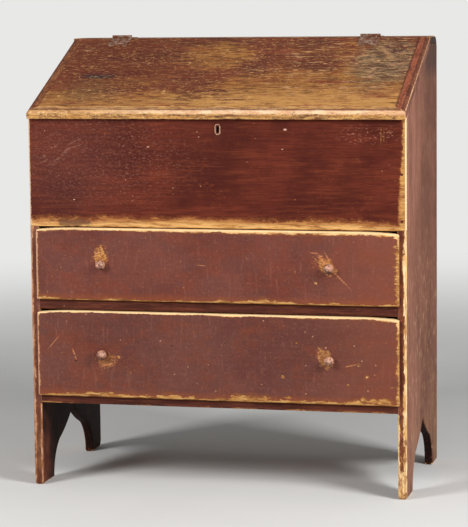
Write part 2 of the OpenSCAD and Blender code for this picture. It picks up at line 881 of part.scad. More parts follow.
// Bottom with its edges thinned from below into the grooves
module drawer_bottom(opening_h) {
    half = drawer_w / 2 - drawer_side_t + groove_d;
    low = tongue_t - drawer_bottom_t;
    y_low = drawer_front_back_y - groove_d;
    color(bare_pine) translate([0, 0, groove_rise]) difference() {
        translate([0, drawer_back_y, 0]) rotate([90, 0, 0]) linear_extrude(drawer_back_y - y_low) polygon([
            [-half, 0], [-half + groove_d, 0], [-half + bottom_bevel_w, low],
            [half - bottom_bevel_w, low], [half - groove_d, 0], [half, 0], [half, tongue_t], [-half, tongue_t]
        ]);
        across(-half - cut, half + cut) polygon([
            [y_low - cut, low - cut], [y_low + bottom_bevel_w + cut, low - cut], [y_low + bottom_bevel_w, low],
            [y_low + groove_d, 0], [y_low - cut, 0]
        ]);
        translate([0, 0, -groove_rise]) drawer_nail_set(opening_h, nail_clear);
    }
}

// Nails up through the bottom into the back
module drawer_nail_set(opening_h, clear = 0) {
    for (share = [-0.4, 0, 0.4])
        translate([share * drawer_w, drawer_back_y - drawer_side_t / 2, groove_top(opening_h) - drawer_bottom_t])
            rotate([180, 0, 0]) cut_nail(drawer_nail_len, clear);
}

module worn_corner(opening_h) {
    radius = (worn_len * worn_len + worn_drop * worn_drop) / (2 * worn_drop);
    half = drawer_w / 2 + drawer_gap_side + drawer_lip_w;
    top = front_low + front_h(opening_h);
    for (side = [-1, 1]) difference() {
        translate([side * (half - worn_len / 2), drawer_front_t / 2 - drawer_proud, top])
            cube([worn_len + 2 * cut, drawer_front_t + 2 * cut, 2 * worn_drop + 2 * cut], center = true);
        translate([side * (half - worn_len), drawer_front_t, top - radius]) rotate([90, 0, 0])
            cylinder(r = radius, h = 2 * drawer_front_t, $fn = 360);
    }
}

// Height of the front's lower edge above the bottom edges of the drawer's sides
front_low = drawer_gap_bottom - seat;

module drawer_front(opening_h, tails) {
    half = drawer_w / 2;
    lip = half + drawer_gap_side + drawer_lip_w;
    top = front_low + front_h(opening_h);
    color(drawer_paint) difference() {
        union() {
            block([-half, -drawer_proud, front_low], [half, drawer_front_back_y, top]);
            block([-lip, -drawer_proud, front_low], [lip, -seat, top]);
        }
        for (x = [-half - cut, half - drawer_side_t])
            across(x, x + drawer_side_t + cut) front_tails(opening_h, tails);
        block([-half + drawer_side_t - groove_d, drawer_front_back_y - groove_d, groove_rise],
              [half - drawer_side_t + groove_d, drawer_front_back_y + cut, groove_rise + tongue_t]);
        translate([0, -drawer_proud, front_low]) edge_round(2 * lip + 2 * cut, drawer_edge_r);
        translate([0, -drawer_proud, top]) mirror([0, 0, 1]) edge_round(2 * lip + 2 * cut, drawer_edge_r);
        for (side = [-1, 1]) translate([side * lip, -drawer_proud, opening_h / 2])
            rotate([0, 90 * side, 0]) mirror([0, 0, 1]) edge_round(opening_h + 2 * cut, drawer_edge_r);
        worn_corner(opening_h);
        for (side = [-1, 1]) translate([side * knob_x, drawer_front_back_y + cut, front_low + front_h(opening_h) / 2])
            rotate([90, 0, 0]) cylinder(r = knob_tenon_r + running, h = drawer_front_t + 2 * cut);
    }
}

// Turned knob: a foot ring, a neck and a ball cut flat behind, with a tenon through the drawer front
module knob_outline() {
    centre = knob_reach - knob_r;
    square([knob_foot_r, knob_foot_t]);
    square([knob_neck_r, centre]);
    intersection() {
        translate([0, centre]) circle(r = knob_r);
        translate([0, centre - knob_r / 2]) square([knob_r, knob_r * 3 / 2]);
    }
}

module knob(side, opening_h) {
    color(knob_paint)
        translate([side * knob_x, -drawer_proud, front_low + front_h(opening_h) / 2]) rotate([90, 0, 0]) {
            translate([0, 0, -drawer_front_t]) cylinder(r = knob_tenon_r, h = drawer_front_t);
            rotate_extrude() knob_outline();
        }
}

module upper() {
    placed() translate([0, 0, upper_opening_z + seat]) children();
}

module lower() {
    placed() translate([0, 0, lower_opening_z + seat]) children();
}

module upper_drawer_front() {
    upper() drawer_front(upper_opening_h, upper_tails);
}

module upper_drawer_side_left() {
    upper() drawer_side(-1, upper_opening_h, upper_tails);
}

module upper_drawer_side_right() {
    upper() drawer_side(1, upper_opening_h, upper_tails);
}

module upper_drawer_back() {
    upper() drawer_back(upper_opening_h, upper_tails);
}

module upper_drawer_bottom() {
    upper() drawer_bottom(upper_opening_h);
}

module upper_knob_left() {
    upper() knob(-1, upper_opening_h);
}

module upper_knob_right() {
    upper() knob(1, upper_opening_h);
}

module upper_drawer_nails() {
    color(iron) upper() drawer_nail_set(upper_opening_h);
}

module lower_drawer_front() {
    lower() drawer_front(lower_opening_h, lower_tails);
}

module lower_drawer_side_left() {
    lower() drawer_side(-1, lower_opening_h, lower_tails);
}

module lower_drawer_side_right() {
    lower() drawer_side(1, lower_opening_h, lower_tails);
}

module lower_drawer_back() {
    lower() drawer_back(lower_opening_h, lower_tails);
}

module lower_drawer_bottom() {
    lower() drawer_bottom(lower_opening_h);
}

module lower_knob_left() {
    lower() knob(-1, lower_opening_h);
}

module lower_knob_right() {
    lower() knob(1, lower_opening_h);
}

module lower_drawer_nails() {
    color(iron) lower() drawer_nail_set(lower_opening_h);
}

side_left();
side_right();
front_panel();
top_board();
well_bottom();
drawer_rail();
bottom_board();
runner_left();
runner_right();
back_board_upper();
back_board_middle();
back_board_lower();
escutcheon();
lock_cap();
lock_plate();
lock_screws();
lock_bolt();
hinge_left_top_leaf();
hinge_right_top_leaf();
hinge_pin_left();
hinge_pin_right();
top_hinge_screws();
front_panel_nails();
top_board_nails();
back_board_nails();
runner_nails();
lid_board();
lid_front_moulding();
lid_left_moulding();
lid_right_moulding();
hinge_left_lid_leaf();
hinge_right_lid_leaf();
lid_hinge_screws();
lid_moulding_nails();
lock_strike();
strike_screws();
upper_drawer_front();
upper_drawer_side_left();
upper_drawer_side_right();
upper_drawer_back();
upper_drawer_bottom();
upper_knob_left();
upper_knob_right();
upper_drawer_nails();
lower_drawer_front();
lower_drawer_side_left();
lower_drawer_side_right();
lower_drawer_back();
lower_drawer_bottom();
lower_knob_left();
lower_knob_right();
lower_drawer_nails();
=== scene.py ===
"""Dresses the painted slant front desk: worn boards and paint, soft light and the photograph's camera."""

import math

import bmesh
import bpy
from mathutils import Matrix, Vector, noise


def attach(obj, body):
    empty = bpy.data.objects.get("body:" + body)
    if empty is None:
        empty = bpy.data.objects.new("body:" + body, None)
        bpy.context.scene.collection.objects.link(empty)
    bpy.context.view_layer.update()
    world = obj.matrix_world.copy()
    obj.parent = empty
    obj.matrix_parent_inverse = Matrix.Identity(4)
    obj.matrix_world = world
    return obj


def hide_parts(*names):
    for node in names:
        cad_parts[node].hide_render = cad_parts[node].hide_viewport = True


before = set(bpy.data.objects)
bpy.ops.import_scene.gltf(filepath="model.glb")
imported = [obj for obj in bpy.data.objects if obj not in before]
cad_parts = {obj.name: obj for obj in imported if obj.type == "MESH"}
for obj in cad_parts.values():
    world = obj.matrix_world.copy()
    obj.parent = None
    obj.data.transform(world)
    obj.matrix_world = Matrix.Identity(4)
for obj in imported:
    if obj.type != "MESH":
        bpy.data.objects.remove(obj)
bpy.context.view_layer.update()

# Main sizes of the desk, in metres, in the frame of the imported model
FRONT_Y = -0.2245
CASE_HALF = 0.457
SIDE_T = 0.021
INNER_HALF = CASE_HALF - SIDE_T
SIDE_D = 0.480
BACK_Y = FRONT_Y + SIDE_D
FOOT_H = 0.203
PANEL_Z = 0.632
LID_Z = 0.894
LID_RISE = 0.180
TOP_Z = LID_Z + LID_RISE
RIDGE_DEPTH = 0.369
RIDGE_Y = FRONT_Y + RIDGE_DEPTH
LID_T = 0.022
LID_OVERHANG = 0.012
MOULDING_W = 0.025
SLOPE = math.acos(LID_T / math.hypot(RIDGE_DEPTH, LID_RISE)) - math.atan2(RIDGE_DEPTH, LID_RISE)
LID_JOINT_Y = FRONT_Y + (MOULDING_W - LID_OVERHANG) * math.cos(SLOPE) - LID_T * math.sin(SLOPE)
LID_END_X = CASE_HALF - MOULDING_W
THUMBNAIL_R = 0.009
STEP_Y = FRONT_Y + (THUMBNAIL_R - LID_OVERHANG) * math.cos(SLOPE) - LID_T * math.sin(SLOPE)
ARCH_MIDDLE_Y = FRONT_Y + 0.248
ARCH_HALF = 0.160
ARCH_H = 0.154
DRAWER_FRONT_Y = FRONT_Y - 0.010
DRAWER_HALF = 0.441
UPPER_EDGES = (0.456, 0.6295)
LOWER_EDGES = (0.222, 0.4295)
WORN_DROP = 0.005
WORN_LEN = 0.095
KNOB_X = 0.277
KNOB_R = 0.012
KNOB_REACH = 0.021
UPPER_KNOB_Z = 0.54275
LOWER_KNOB_Z = 0.32575
KEY_X = 0.010
KEY_Z = LID_Z - 0.028
PLATE_HALF = 0.0067
PLATE_STRAIGHT = 0.013 - PLATE_HALF

# The lid's frame: X across, Y up the slope, Z square to the lid from its underside up
LID_FRAME = Matrix.Translation((0, FRONT_Y, LID_Z)) @ Matrix.Rotation(SLOPE, 4, "X")
ROW_FRAME = Matrix.Identity(4)


# Shader tools


def rgb(red, green, blue):
    """Linear colour of an sRGB colour given in 0 to 255."""
    def linear(value):
        share = value / 255
        return share / 12.92 if share <= 0.04045 else ((share + 0.055) / 1.055) ** 2.4
    return linear(red), linear(green), linear(blue), 1


def give(tree, socket, value):
    """Link a socket to a field or an output, or set it to a value."""
    if isinstance(value, Field):
        value = value.socket
    if isinstance(value, bpy.types.NodeSocket):
        tree.links.new(value, socket)
    elif value is not None:
        socket.default_value = value


def add_node(tree, kind, inputs, **settings):
    """New node with these settings, and with its inputs linked or set."""
    node = tree.nodes.new(f"ShaderNode{kind}")
    for name, value in settings.items():
        setattr(node, name, value)
    for name, value in inputs.items():
        give(tree, node.inputs[name], value)
    return node


class Field:
    """A value or colour all over a surface, from one output of a node."""

    def __init__(self, shade, socket):
        self.shade = shade
        self.socket = socket

    def __add__(self, other):
        return self.shade.maths("ADD", self, other)

    def __radd__(self, other):
        return self.shade.maths("ADD", other, self)

    def __sub__(self, other):
        return self.shade.maths("SUBTRACT", self, other)

    def __rsub__(self, other):
        return self.shade.maths("SUBTRACT", other, self)

    def __mul__(self, other):
        return self.shade.maths("MULTIPLY", self, other)

    def __truediv__(self, other):
        return self.shade.maths("DIVIDE", self, other)

    def __pow__(self, other):
        return self.shade.maths("POWER", self, other)

    def __abs__(self):
        return self.shade.maths("ABSOLUTE", self)

    def rise(self, low, high, top=1.0, base=0.0):
        """Smooth step from base, where the value is low, to top, where it is high."""
        return self.shade.field("MapRange", "Result", {"Value": self, "From Min": low, "From Max": high,
                                                       "To Min": base, "To Max": top},
                                interpolation_type="SMOOTHSTEP")

    def fall(self, low, high, top=1.0, base=0.0):
        """Smooth step from top, where the value is low, to base, where it is high."""
        return self.rise(low, high, base, top)

    def mix(self, first, second):
        """The first colour where the value is 0, and the second where it is 1."""
        return self.shade.mix(self, first, second)


class Shade:
    """One node material, with short names for the nodes that the paints are made of."""

    def __init__(self, name, seed=0.0):
        self.material = bpy.data.materials.new(name)
        self.material.use_nodes = True
        self.tree = self.material.node_tree
        self.surface = self.tree.nodes["Principled BSDF"]
        self.place = self.field("TexCoord", "Object", {})
        axes = add_node(self.tree, "SeparateXYZ", {0: self.place})
        self.x, self.y, self.z = (Field(self, output) for output in axes.outputs)
        self.seed = seed

    def field(self, kind, output, inputs, **settings):
        """Output of a new node."""
        return Field(self, add_node(self.tree, kind, inputs, **settings).outputs[output])

    def maths(self, operation, first, second=None):
        """Sum, product or the like of two values."""
        return self.field("Math", 0, {0: first, 1: second}, operation=operation)

    def clamp(self, value):
        """The value kept between 0 and 1."""
        return self.field("Clamp", 0, {"Value": value})

    def mix(self, share, first, second):
        """Mix of two colours."""
        return self.field("Mix", 2, {0: share, 6: first, 7: second}, data_type="RGBA")

    def most(self, *values):
        """The largest of some values."""
        found = values[0]
        for value in values[1:]:
            found = self.maths("MAXIMUM", found, value)
        return found

    def stretched(self, stretch, offset=0.0):
        """The place on the piece, stretched along the axes and moved by the seed."""
        move = (self.seed + offset, self.seed * 0.7 - offset, self.seed * 1.3)
        return self.field("Mapping", 0, {"Location": move, "Scale": stretch, "Vector": self.place})

    def cloud(self, scale, stretch=(1, 1, 1), detail=3.0, rough=0.55, offset=0.0, warp=0.0):
        """Noise from 0 to 1."""
        return self.field("TexNoise", "Fac", {"Scale": scale, "Detail": detail, "Roughness": rough,
                                              "Distortion": warp, "Vector": self.stretched(stretch, offset)})

    def strokes(self, scale, turn, length, offset=0.0):
        """Noise drawn out along one direction of the front: X turned by that many degrees about Y."""
        place = self.field("Mapping", 0, {"Location": (offset, self.seed, -offset),
                                          "Rotation": (0, math.radians(turn), 0), "Scale": (length, 1, 1),
                                          "Vector": self.place}, vector_type="TEXTURE")
        return self.field("TexNoise", "Fac", {"Scale": scale, "Detail": 4, "Roughness": 0.7, "Vector": place})

    def warped(self, vector, scale, amount):
        """The same places pushed about by noise."""
        push = self.field("TexNoise", "Color", {"Scale": scale, "Vector": vector})
        centred = self.field("VectorMath", 0, {0: push, 1: (0.5, 0.5, 0.5)}, operation="SUBTRACT")
        return self.field("VectorMath", 0, {0: centred, 1: (amount, amount, amount), 2: vector},
                          operation="MULTIPLY_ADD")

    def dots(self, scale, size, share, stretch=(1, 1, 1), offset=0.0):
        """Sparse ragged dots: one to a cell, in that share of the cells, up to size of a cell in radius."""
        places = self.warped(self.stretched(stretch, offset), 6 * scale, 0.3 / scale)
        cells = add_node(self.tree, "TexVoronoi", {"Scale": scale, "Vector": places}).outputs
        chance = add_node(self.tree, "SeparateColor", {0: cells["Color"]}).outputs
        near = self.maths("LESS_THAN", cells["Distance"], self.maths("MULTIPLY", chance[1], size))
        return near * self.maths("LESS_THAN", chance[0], share)

    def blob(self, centre, size, turn=(0, 0, 0)):
        """1 at the centre, falling to 0 on the ellipsoid with these half sizes, turned by these degrees."""
        turned = [math.radians(angle) for angle in turn]
        place = self.field("Mapping", 0, {"Location": centre, "Rotation": turned, "Scale": size,
                                          "Vector": self.place}, vector_type="TEXTURE")
        return self.field("TexGradient", "Fac", {"Vector": place}, gradient_type="SPHERICAL")

    def facing_up(self):
        """How far the surface faces up."""
        normal = add_node(self.tree, "NewGeometry", {}).outputs["Normal"]
        return self.field("SeparateXYZ", "Z", {0: normal})

    def edge(self):
        """Distance to the nearest outer edge of the board, in metres."""
        return self.field("Attribute", "Fac", {}, attribute_name="edge")

    def ragged(self, value, mid, fine, low=0.45, high=0.6, mid_share=0.6, fine_share=0.4):
        """Mask of value with its outline broken up by two noises."""
        return (value + (mid - 0.5) * mid_share + (fine - 0.5) * fine_share).rise(low, high)

    def finish(self, colour, roughness, height, depth=0.0006, strength=0.5, gloss=0.06):
        """The material, with these on its shader."""
        self.surface.inputs["Specular IOR Level"].default_value = gloss
        bump = self.field("Bump", 0, {"Strength": strength, "Distance": depth, "Height": height})
        for name, value in (("Base Color", colour), ("Roughness", roughness), ("Normal", bump)):
            give(self.tree, self.surface.inputs[name], value)
        return self.material


ALONG_X = (0.06, 1, 1)
ALONG_Y = (1, 0.06, 1)
ALONG_Z = (1, 1, 0.06)

OCHRE = rgb(194, 138, 76)
OCHRE_LIGHT = rgb(236, 192, 130)
OCHRE_DARK = rgb(146, 92, 46)
CREAM = rgb(255, 224, 172)
SOIL = rgb(92, 54, 36)
GRIME = rgb(40, 24, 19)


def shorter(grain, share):
    """Stretch along the same grain, for shorter marks."""
    return tuple(share if part < 1 else 1 for part in grain)


def layered(colour, layers):
    """The colour with others laid over it in turn, each given as a mask and a colour."""
    for mask, tint in layers:
        colour = mask.mix(colour, tint)
    return colour


def worn_wood(shade, grain, light=OCHRE_LIGHT, mid=OCHRE, dark=OCHRE_DARK, soil=0.5):
    """Colour of the bare wood and its pale first coat: broad tones, fine streaks and soil."""
    broad = shade.cloud(32, shorter(grain, 0.3), 4, 0.62, 3)
    streaks = shade.cloud(240, shorter(grain, 0.12), 4, 0.65, 5)
    colour = broad.rise(0.36, 0.60).mix(dark, mid)
    stain = shade.cloud(85, shorter(grain, 0.35), 4, 0.7, 9)
    return layered(colour, (
        (streaks.rise(0.42, 0.62, 0.8), light),
        (stain.rise(0.53, 0.68, soil), SOIL),
    ))


def old_pine(shade, grain):
    """Colour of old unpainted pine, streaked along its grain, with dirt in places."""
    rings = shade.cloud(34, grain, 3, 0.55, 51, 0.5)
    fine = shade.cloud(260, shorter(grain, 0.03), 3, 0.6, 52)
    colour = rings.rise(0.36, 0.66).mix(rgb(178, 142, 104), rgb(150, 112, 78))
    dirt = shade.cloud(7, (1, 1, 1), 4, 0.65, 53)
    return layered(colour, (
        (fine.rise(0.48, 0.72, 0.35), rgb(124, 88, 60)),
        (dirt.rise(0.44, 0.70, 0.4), rgb(104, 78, 58)),
    ))


def worn_paint(name, seed, grain, paint, dark, light, edge_width, extra=None, decorate=None, wood=None,
               fleck=0.35, streak=0.5, wide_streak=0.6, rough=0.55, chips=0.4, chip_region=None,
               rim_region=None):
    """Old paint on a board: drifting colour, streaks along the grain, flecks, and bare wood at worn edges.

    extra gives more bare places, decorate changes the colour of the paint, and wood gives that of the wood.
    """
    shade = Shade(name, seed)
    broad = shade.cloud(6, (1, 1, 1), 4, 0.62)
    mid = shade.cloud(48, shorter(grain, 0.5), 5, 0.68, 1)
    fine = shade.cloud(260, shorter(grain, 0.5), 3, 0.65, 2)
    streaks = shade.cloud(300, grain, 4, 0.65, 4)
    wide_streaks = shade.cloud(150, grain, 5, 0.68, 6)
    colour = broad.rise(0.38, 0.62).mix(paint, dark)
    scuffs = shade.cloud(14, (1, 1, 1), 3, 0.6, 8).rise(0.42, 0.62)
    colour = layered(colour, (
        (wide_streaks.rise(0.46, 0.64, wide_streak), light),
        (streaks.rise(0.46, 0.60, streak), dark),
        (fine.rise(0.56, 0.68, fleck) * scuffs, light),
    ))
    if decorate:
        colour = decorate(shade, colour, mid, fine)
    rim = shade.edge().fall(0.0, edge_width)
    if rim_region:
        rim = rim * rim_region(shade)
    bare = shade.most(rim, extra(shade)) if extra else rim
    worn = shade.ragged(bare, mid, fine, 0.45, 0.60, 1.2, 0.7)
    region = chip_region(shade) if chip_region else 1.0
    allowed = shade.most(bare.rise(0.0, 0.1), region)
    worn = worn * allowed
    large = shade.dots(26, 0.11, region * chips, (0.8, 1, 1), 11)
    small = shade.dots(75, 0.13, region * (0.4 * chips), (0.8, 1, 1), 12)
    worn = shade.most(worn, large * fine.rise(0.34, 0.52))
    bare_colour = wood(shade) if wood else worn_wood(shade, grain)
    shade_rim = shade.ragged(bare, mid, fine, 0.16, 0.45, 1.2, 0.7) * allowed
    ring = (shade_rim - worn) * 0.45
    colour = layered(colour, (
        (small * 0.8, rgb(192, 138, 110)),
        (worn, bare_colour),
        (shade.clamp(ring), rgb(138, 82, 44)),
    ))
    height = streaks * 0.5 - worn * 0.45 + fine * 0.3
    return shade.finish(colour, worn.rise(0, 1, 0.75, rough), height)


# Paints


def band(distance, reach):
    """1 on an edge, falling through a half at half the reach to 0 at the reach."""
    return 1.0 - distance / reach


def panel_foot(shade):
    """1 at the foot of the front panel, falling to 0 above its rubbed band."""
    lift = shade.cloud(11, (0.4, 1, 1), 4, 0.6, 13) * 0.026
    less = shade.x.rise(0.10, 0.40, 0.005)
    return (shade.z + less - lift).fall(PANEL_Z - 0.006, PANEL_Z + 0.025)


def panel_front(shade):
    """1 on the front face of the front panel and just round its edges."""
    return shade.y.fall(FRONT_Y + 0.003, FRONT_Y + 0.006)


def panel_extra(shade):
    """Rubbed band along the foot of the front panel, and down its right end."""
    teeth = shade.cloud(70, (0.4, 1, 1), 4, 0.7, 14) * 0.014
    wider = shade.z.fall(PANEL_Z + 0.04, PANEL_Z + 0.20, 0.010, 0.001)
    right = (shade.x + (teeth + wider)).rise(CASE_HALF - 0.008, CASE_HALF + 0.006)
    return shade.most(panel_foot(shade), right) * panel_front(shade)


def panel_wood(shade):
    """Bare foot of the front panel, paler downwards, with knots and grime near its left end."""
    colour = worn_wood(shade, ALONG_X, rgb(208, 156, 94), rgb(178, 124, 68), rgb(138, 86, 46), 0.55)
    left = shade.x.fall(-0.40, -0.10, 0.55)
    red = shade.cloud(40, (0.4, 1, 1), 4, 0.65, 35)
    pale = shade.cloud(170, (0.10, 1, 1), 4, 0.65, 34)
    foot = shade.z.fall(PANEL_Z + 0.003, PANEL_Z + 0.018, 0.85)
    upper = panel_foot(shade).fall(0.62, 0.95, 0.9) * shade.x.fall(CASE_HALF - 0.020, CASE_HALF - 0.010)
    knot = shade.blob((-0.345, FRONT_Y, 0.642), (0.085, 0.03, 0.020))
    rough = shade.cloud(90, (0.5, 1, 1), 3, 0.6, 33)
    mask = shade.ragged(knot, rough, rough, 0.30, 0.60, 1.3, 0.0)
    left_corner = shade.x.fall(0.003 - CASE_HALF, 0.006 - CASE_HALF, 0.85)
    right_corner = shade.x.rise(CASE_HALF - 0.004, CASE_HALF - 0.002)
    return layered(colour, (
        (left * red.rise(0.40, 0.58), rgb(172, 104, 74)),
        (foot * pale.rise(0.42, 0.58), rgb(228, 180, 114)),
        (upper, pale.rise(0.42, 0.56).mix(rgb(126, 68, 40), rgb(166, 108, 60))),
        (mask * 0.75, rgb(84, 52, 42)),
        (left_corner, rgb(214, 176, 142)),
        (right_corner * 0.8, CREAM),
    ))


def panel_marks(shade, colour, mid, fine):
    """Greyish scuffs at the left, a nail hole, pale nicks and scratches at the right."""
    scuff = shade.blob((-0.30, FRONT_Y, 0.80), (0.36, 0.1, 0.17))
    dash = shade.cloud(240, (0.5, 1, 1), 5, 0.8, 17)
    mask = scuff.rise(0.0, 0.7) * dash.rise(0.51, 0.64, 0.50)
    haze = shade.blob((-0.36, FRONT_Y, 0.78), (0.22, 0.1, 0.2)).rise(0.0, 0.9, 0.35)
    leaning = shade.strokes(110, -24, 5, 18)
    patch = shade.blob((-0.385, FRONT_Y, 0.815), (0.085, 0.1, 0.050)).rise(0.0, 0.6)
    corner_patch = shade.blob((0.37, FRONT_Y, 0.855), (0.10, 0.1, 0.03)).rise(0.0, 0.5)
    hole = shade.blob((-0.352, FRONT_Y, 0.6365), (0.008, 0.02, 0.004)).rise(0.2, 0.5)
    colour = layered(colour, (
        (mask, rgb(150, 102, 88)),
        (haze, rgb(92, 52, 46)),
        (patch * leaning.rise(0.54, 0.66, 0.4), rgb(164, 116, 98)),
        (corner_patch * fine.rise(0.57, 0.66, 0.6), rgb(178, 120, 96)),
        (hole, GRIME),
    ))
    for x, z, size in ((-0.160, 0.824, 0.0040), (-0.040, 0.860, 0.0022), (-0.036, 0.848, 0.0024),
                       (0.172, 0.866, 0.0060), (0.165, 0.820, 0.0030), (0.080, 0.790, 0.0016),
                       (-0.345, 0.697, 0.0034)):
        nick = shade.blob((x, FRONT_Y, z), (size, 0.02, size * 0.55)).rise(0.1, 0.5, 0.85)
        colour = nick.mix(colour, rgb(206, 160, 140))
    for x in (0.398, 0.405):
        line = shade.blob((x, FRONT_Y, 0.852), (0.0012, 0.02, 0.030)).rise(0.1, 0.6)
        colour = (line * fine.rise(0.42, 0.58, 0.7, 0.1)).mix(colour, OCHRE)
    behind = shade.y.rise(FRONT_Y + 0.003, FRONT_Y + 0.006)
    end_face = behind * shade.x.rise(CASE_HALF - 0.002, CASE_HALF - 0.001)
    return end_face.mix(colour, fine.rise(0.4, 0.6).mix(rgb(178, 126, 104), rgb(144, 94, 76)))


def side_extra(shade):
    """Hard wear along the outer front corners, and over the whole front face of the right foot."""
    out = CASE_HALF - abs(shade.x)
    back = shade.y - FRONT_Y
    reach = shade.x.rise(-0.1, 0.1, 0.017, 0.013)
    drift = shade.cloud(16, (1, 1, 0.5), 4, 0.65, 27)
    reach = reach * (drift + 0.5)
    corner = band(shade.most(out, back * 1.6), reach)
    right = shade.x.rise(-0.1, 0.1, 0.62, 0.25)
    face = shade.y.fall(FRONT_Y + 0.0015, FRONT_Y + 0.0045)
    foot = shade.z.fall(0.02, FOOT_H - 0.015, 1.0, 0.55)
    below = shade.z.fall(FOOT_H - 0.015, FOOT_H - 0.005)
    worn_face = right * face * (foot * below)
    return shade.most(corner, worn_face)


def side_rim(shade):
    """The edges are rubbed on the feet, and hardly above them."""
    return shade.z.fall(FOOT_H - 0.008, FOOT_H + 0.004, 1.0, 0.2)


def side_wood(shade):
    """Bare wood of a side board, cream on the right side and pinker on the left one."""
    right = shade.x.rise(-0.1, 0.1)
    light = right.mix(rgb(214, 170, 138), CREAM)
    mid = right.mix(rgb(184, 128, 94), rgb(228, 178, 114))
    dark = right.mix(rgb(140, 86, 60), rgb(182, 128, 74))
    colour = worn_wood(shade, ALONG_Z, light, mid, dark, 0.3)
    rough = shade.cloud(110, (0.8, 1, 0.35), 4, 0.7, 28)
    low = shade.z.fall(FOOT_H - 0.03, FOOT_H, 0.9)
    return (low * rough.rise(0.48, 0.62)).mix(colour, rgb(136, 84, 46))


def side_marks(shade, colour, mid, fine):
    """Paler and pinker to the front, brown runs, short upright scratches, painted shade low down and on the
    feet's inner faces.
    """
    front = shade.y.fall(FRONT_Y + 0.02, FRONT_Y + 0.36)
    runs = shade.cloud(20, (1, 1, 0.16), 5, 0.68, 15)
    pale = front * runs.rise(0.36, 0.58, 1.0, 0.2)
    drips = shade.cloud(70, (1, 1, 0.14), 5, 0.7, 16).rise(0.50, 0.64, 0.6)
    mottle = shade.cloud(75, (1, 1, 0.5), 5, 0.75, 18)
    cuts = shade.cloud(85, (1, 1, 0.40), 4, 0.7, 19)
    low = shade.z.fall(0.42, 0.66, 1.0, 0.15)
    foot = shade.z.fall(0.05, 0.30, 0.55)
    corner = shade.y.rise(RIDGE_Y - 0.12, RIDGE_Y - 0.03, 0.85) * shade.z.rise(TOP_Z - 0.115, TOP_Z - 0.065)
    edge_face = shade.y.fall(FRONT_Y + 0.0015, FRONT_Y + 0.0045)
    right = shade.x.rise(-0.1, 0.1)
    face = mid.rise(0.42, 0.60).mix(right.mix(rgb(98, 54, 45), rgb(84, 38, 28)),
                                    right.mix(rgb(124, 76, 62), rgb(122, 66, 46)))
    left_foot = shade.z.fall(FOOT_H - 0.02, FOOT_H, 0.75) * shade.x.fall(-0.1, 0.1)
    face = left_foot.mix(face, mid.rise(0.42, 0.60).mix(rgb(84, 48, 36), rgb(116, 76, 50)))
    out = abs(shade.x)
    inner = out.fall(INNER_HALF + 0.0004, INNER_HALF + 0.0022)
    # Painted shade: near-black with red spots on the side boards below the top of the arch, behind their
    # front edges.
    painted_low_shade = out.fall(CASE_HALF - 0.003, CASE_HALF - 0.0012) * shade.z.fall(ARCH_H, ARCH_H + 0.01)
    painted_low_shade = painted_low_shade * shade.y.rise(FRONT_Y + 0.008, FRONT_Y + 0.03)
    # Painted shade on the inner faces below the bottom board: reddish brown at the front, near-black towards
    # the back and the top.
    painted_shade_below = shade.z.fall(FOOT_H - 0.004, FOOT_H + 0.004)
    depth = shade.most(shade.y.rise(FRONT_Y + 0.005, FRONT_Y + 0.09), shade.z.rise(0.05, 0.16, 0.85))
    painted_shade_in_feet = depth.mix(mid.rise(0.4, 0.6).mix(rgb(84, 42, 32), rgb(112, 60, 44)),
                      mid.rise(0.4, 0.6).mix(rgb(26, 17, 14), rgb(44, 26, 21)))
    inside = painted_shade_below.mix(old_pine(shade, ALONG_Z), painted_shade_in_feet)
    return layered(colour, (
        (pale * 0.75, rgb(166, 112, 94)),
        (drips, rgb(100, 66, 50)),
        (mottle.rise(0.54, 0.68, 0.34), rgb(174, 130, 108)),
        (mottle.fall(0.34, 0.46, 0.35), rgb(94, 62, 50)),
        (cuts.rise(0.56, 0.66, 0.7) * low, rgb(190, 150, 116)),
        (cuts.fall(0.35, 0.43, 0.6) * low, rgb(84, 56, 44)),
        (foot * runs.rise(0.42, 0.58), rgb(142, 108, 80)),
        (corner, mid.rise(0.4, 0.6).mix(rgb(78, 54, 46), rgb(62, 42, 36))),
        (edge_face * 0.9, face),
        (painted_low_shade, fine.rise(0.60, 0.68).mix(rgb(34, 20, 16), rgb(112, 52, 36))),
        (inner, inside),
        (shade.z.fall(0.0, 0.006, 0.8), GRIME),
    ))


def lid_spot(shade, x, up, half_x, half_y):
    """Blob on the upper face of the lid, given along its slope."""
    return shade.blob(LID_FRAME @ Vector((x, up, LID_T)), (half_x, half_y, 0.05), (math.degrees(SLOPE), 0, 0))


def lid_underside(shade):
    """1 on the underside of the lid, 0 a little above it and on the board behind the lid."""
    height = shade.z * math.cos(SLOPE) - shade.y * math.sin(SLOPE)
    rest = LID_Z * math.cos(SLOPE) - FRONT_Y * math.sin(SLOPE)
    before = shade.y.fall(RIDGE_Y - 0.006, RIDGE_Y - 0.002)
    return height.fall(rest + 0.001, rest + 0.003) * before


def lid_ochre(shade, streak, dashes, patch):
    """Mask and colour of the rubbing through the lid's red paint, most of it low, right and in the middle."""
    low = shade.y.fall(FRONT_Y + 0.015, FRONT_Y + 0.13)
    region = shade.most(lid_spot(shade, -0.045, 0.30, 0.16, 0.12).rise(0.0, 0.8, 0.95), low * 0.85,
                        lid_spot(shade, 0.22, 0.11, 0.36, 0.17).rise(0.0, 0.7, 0.85),
                        lid_spot(shade, 0.30, 0.30, 0.20, 0.12).rise(0.0, 0.8, 0.45),
                        lid_spot(shade, -0.26, 0.12, 0.15, 0.09).rise(0.0, 0.8, 0.5))
    region = region + patch.rise(0.36, 0.64, 0.30, -0.16)
    mask = shade.ragged(region, streak, dashes, 0.25, 0.70, 1.7, 1.5)
    ochre = dashes.rise(0.42, 0.58).mix(rgb(118, 72, 36), rgb(172, 118, 60))
    bright = shade.x.rise(-0.30, 0.10, 1.0, 0.30) * low
    ochre = (bright * streak.rise(0.34, 0.58, 0.95, 0.3)).mix(ochre, rgb(214, 160, 92))
    return mask * 0.88, ochre


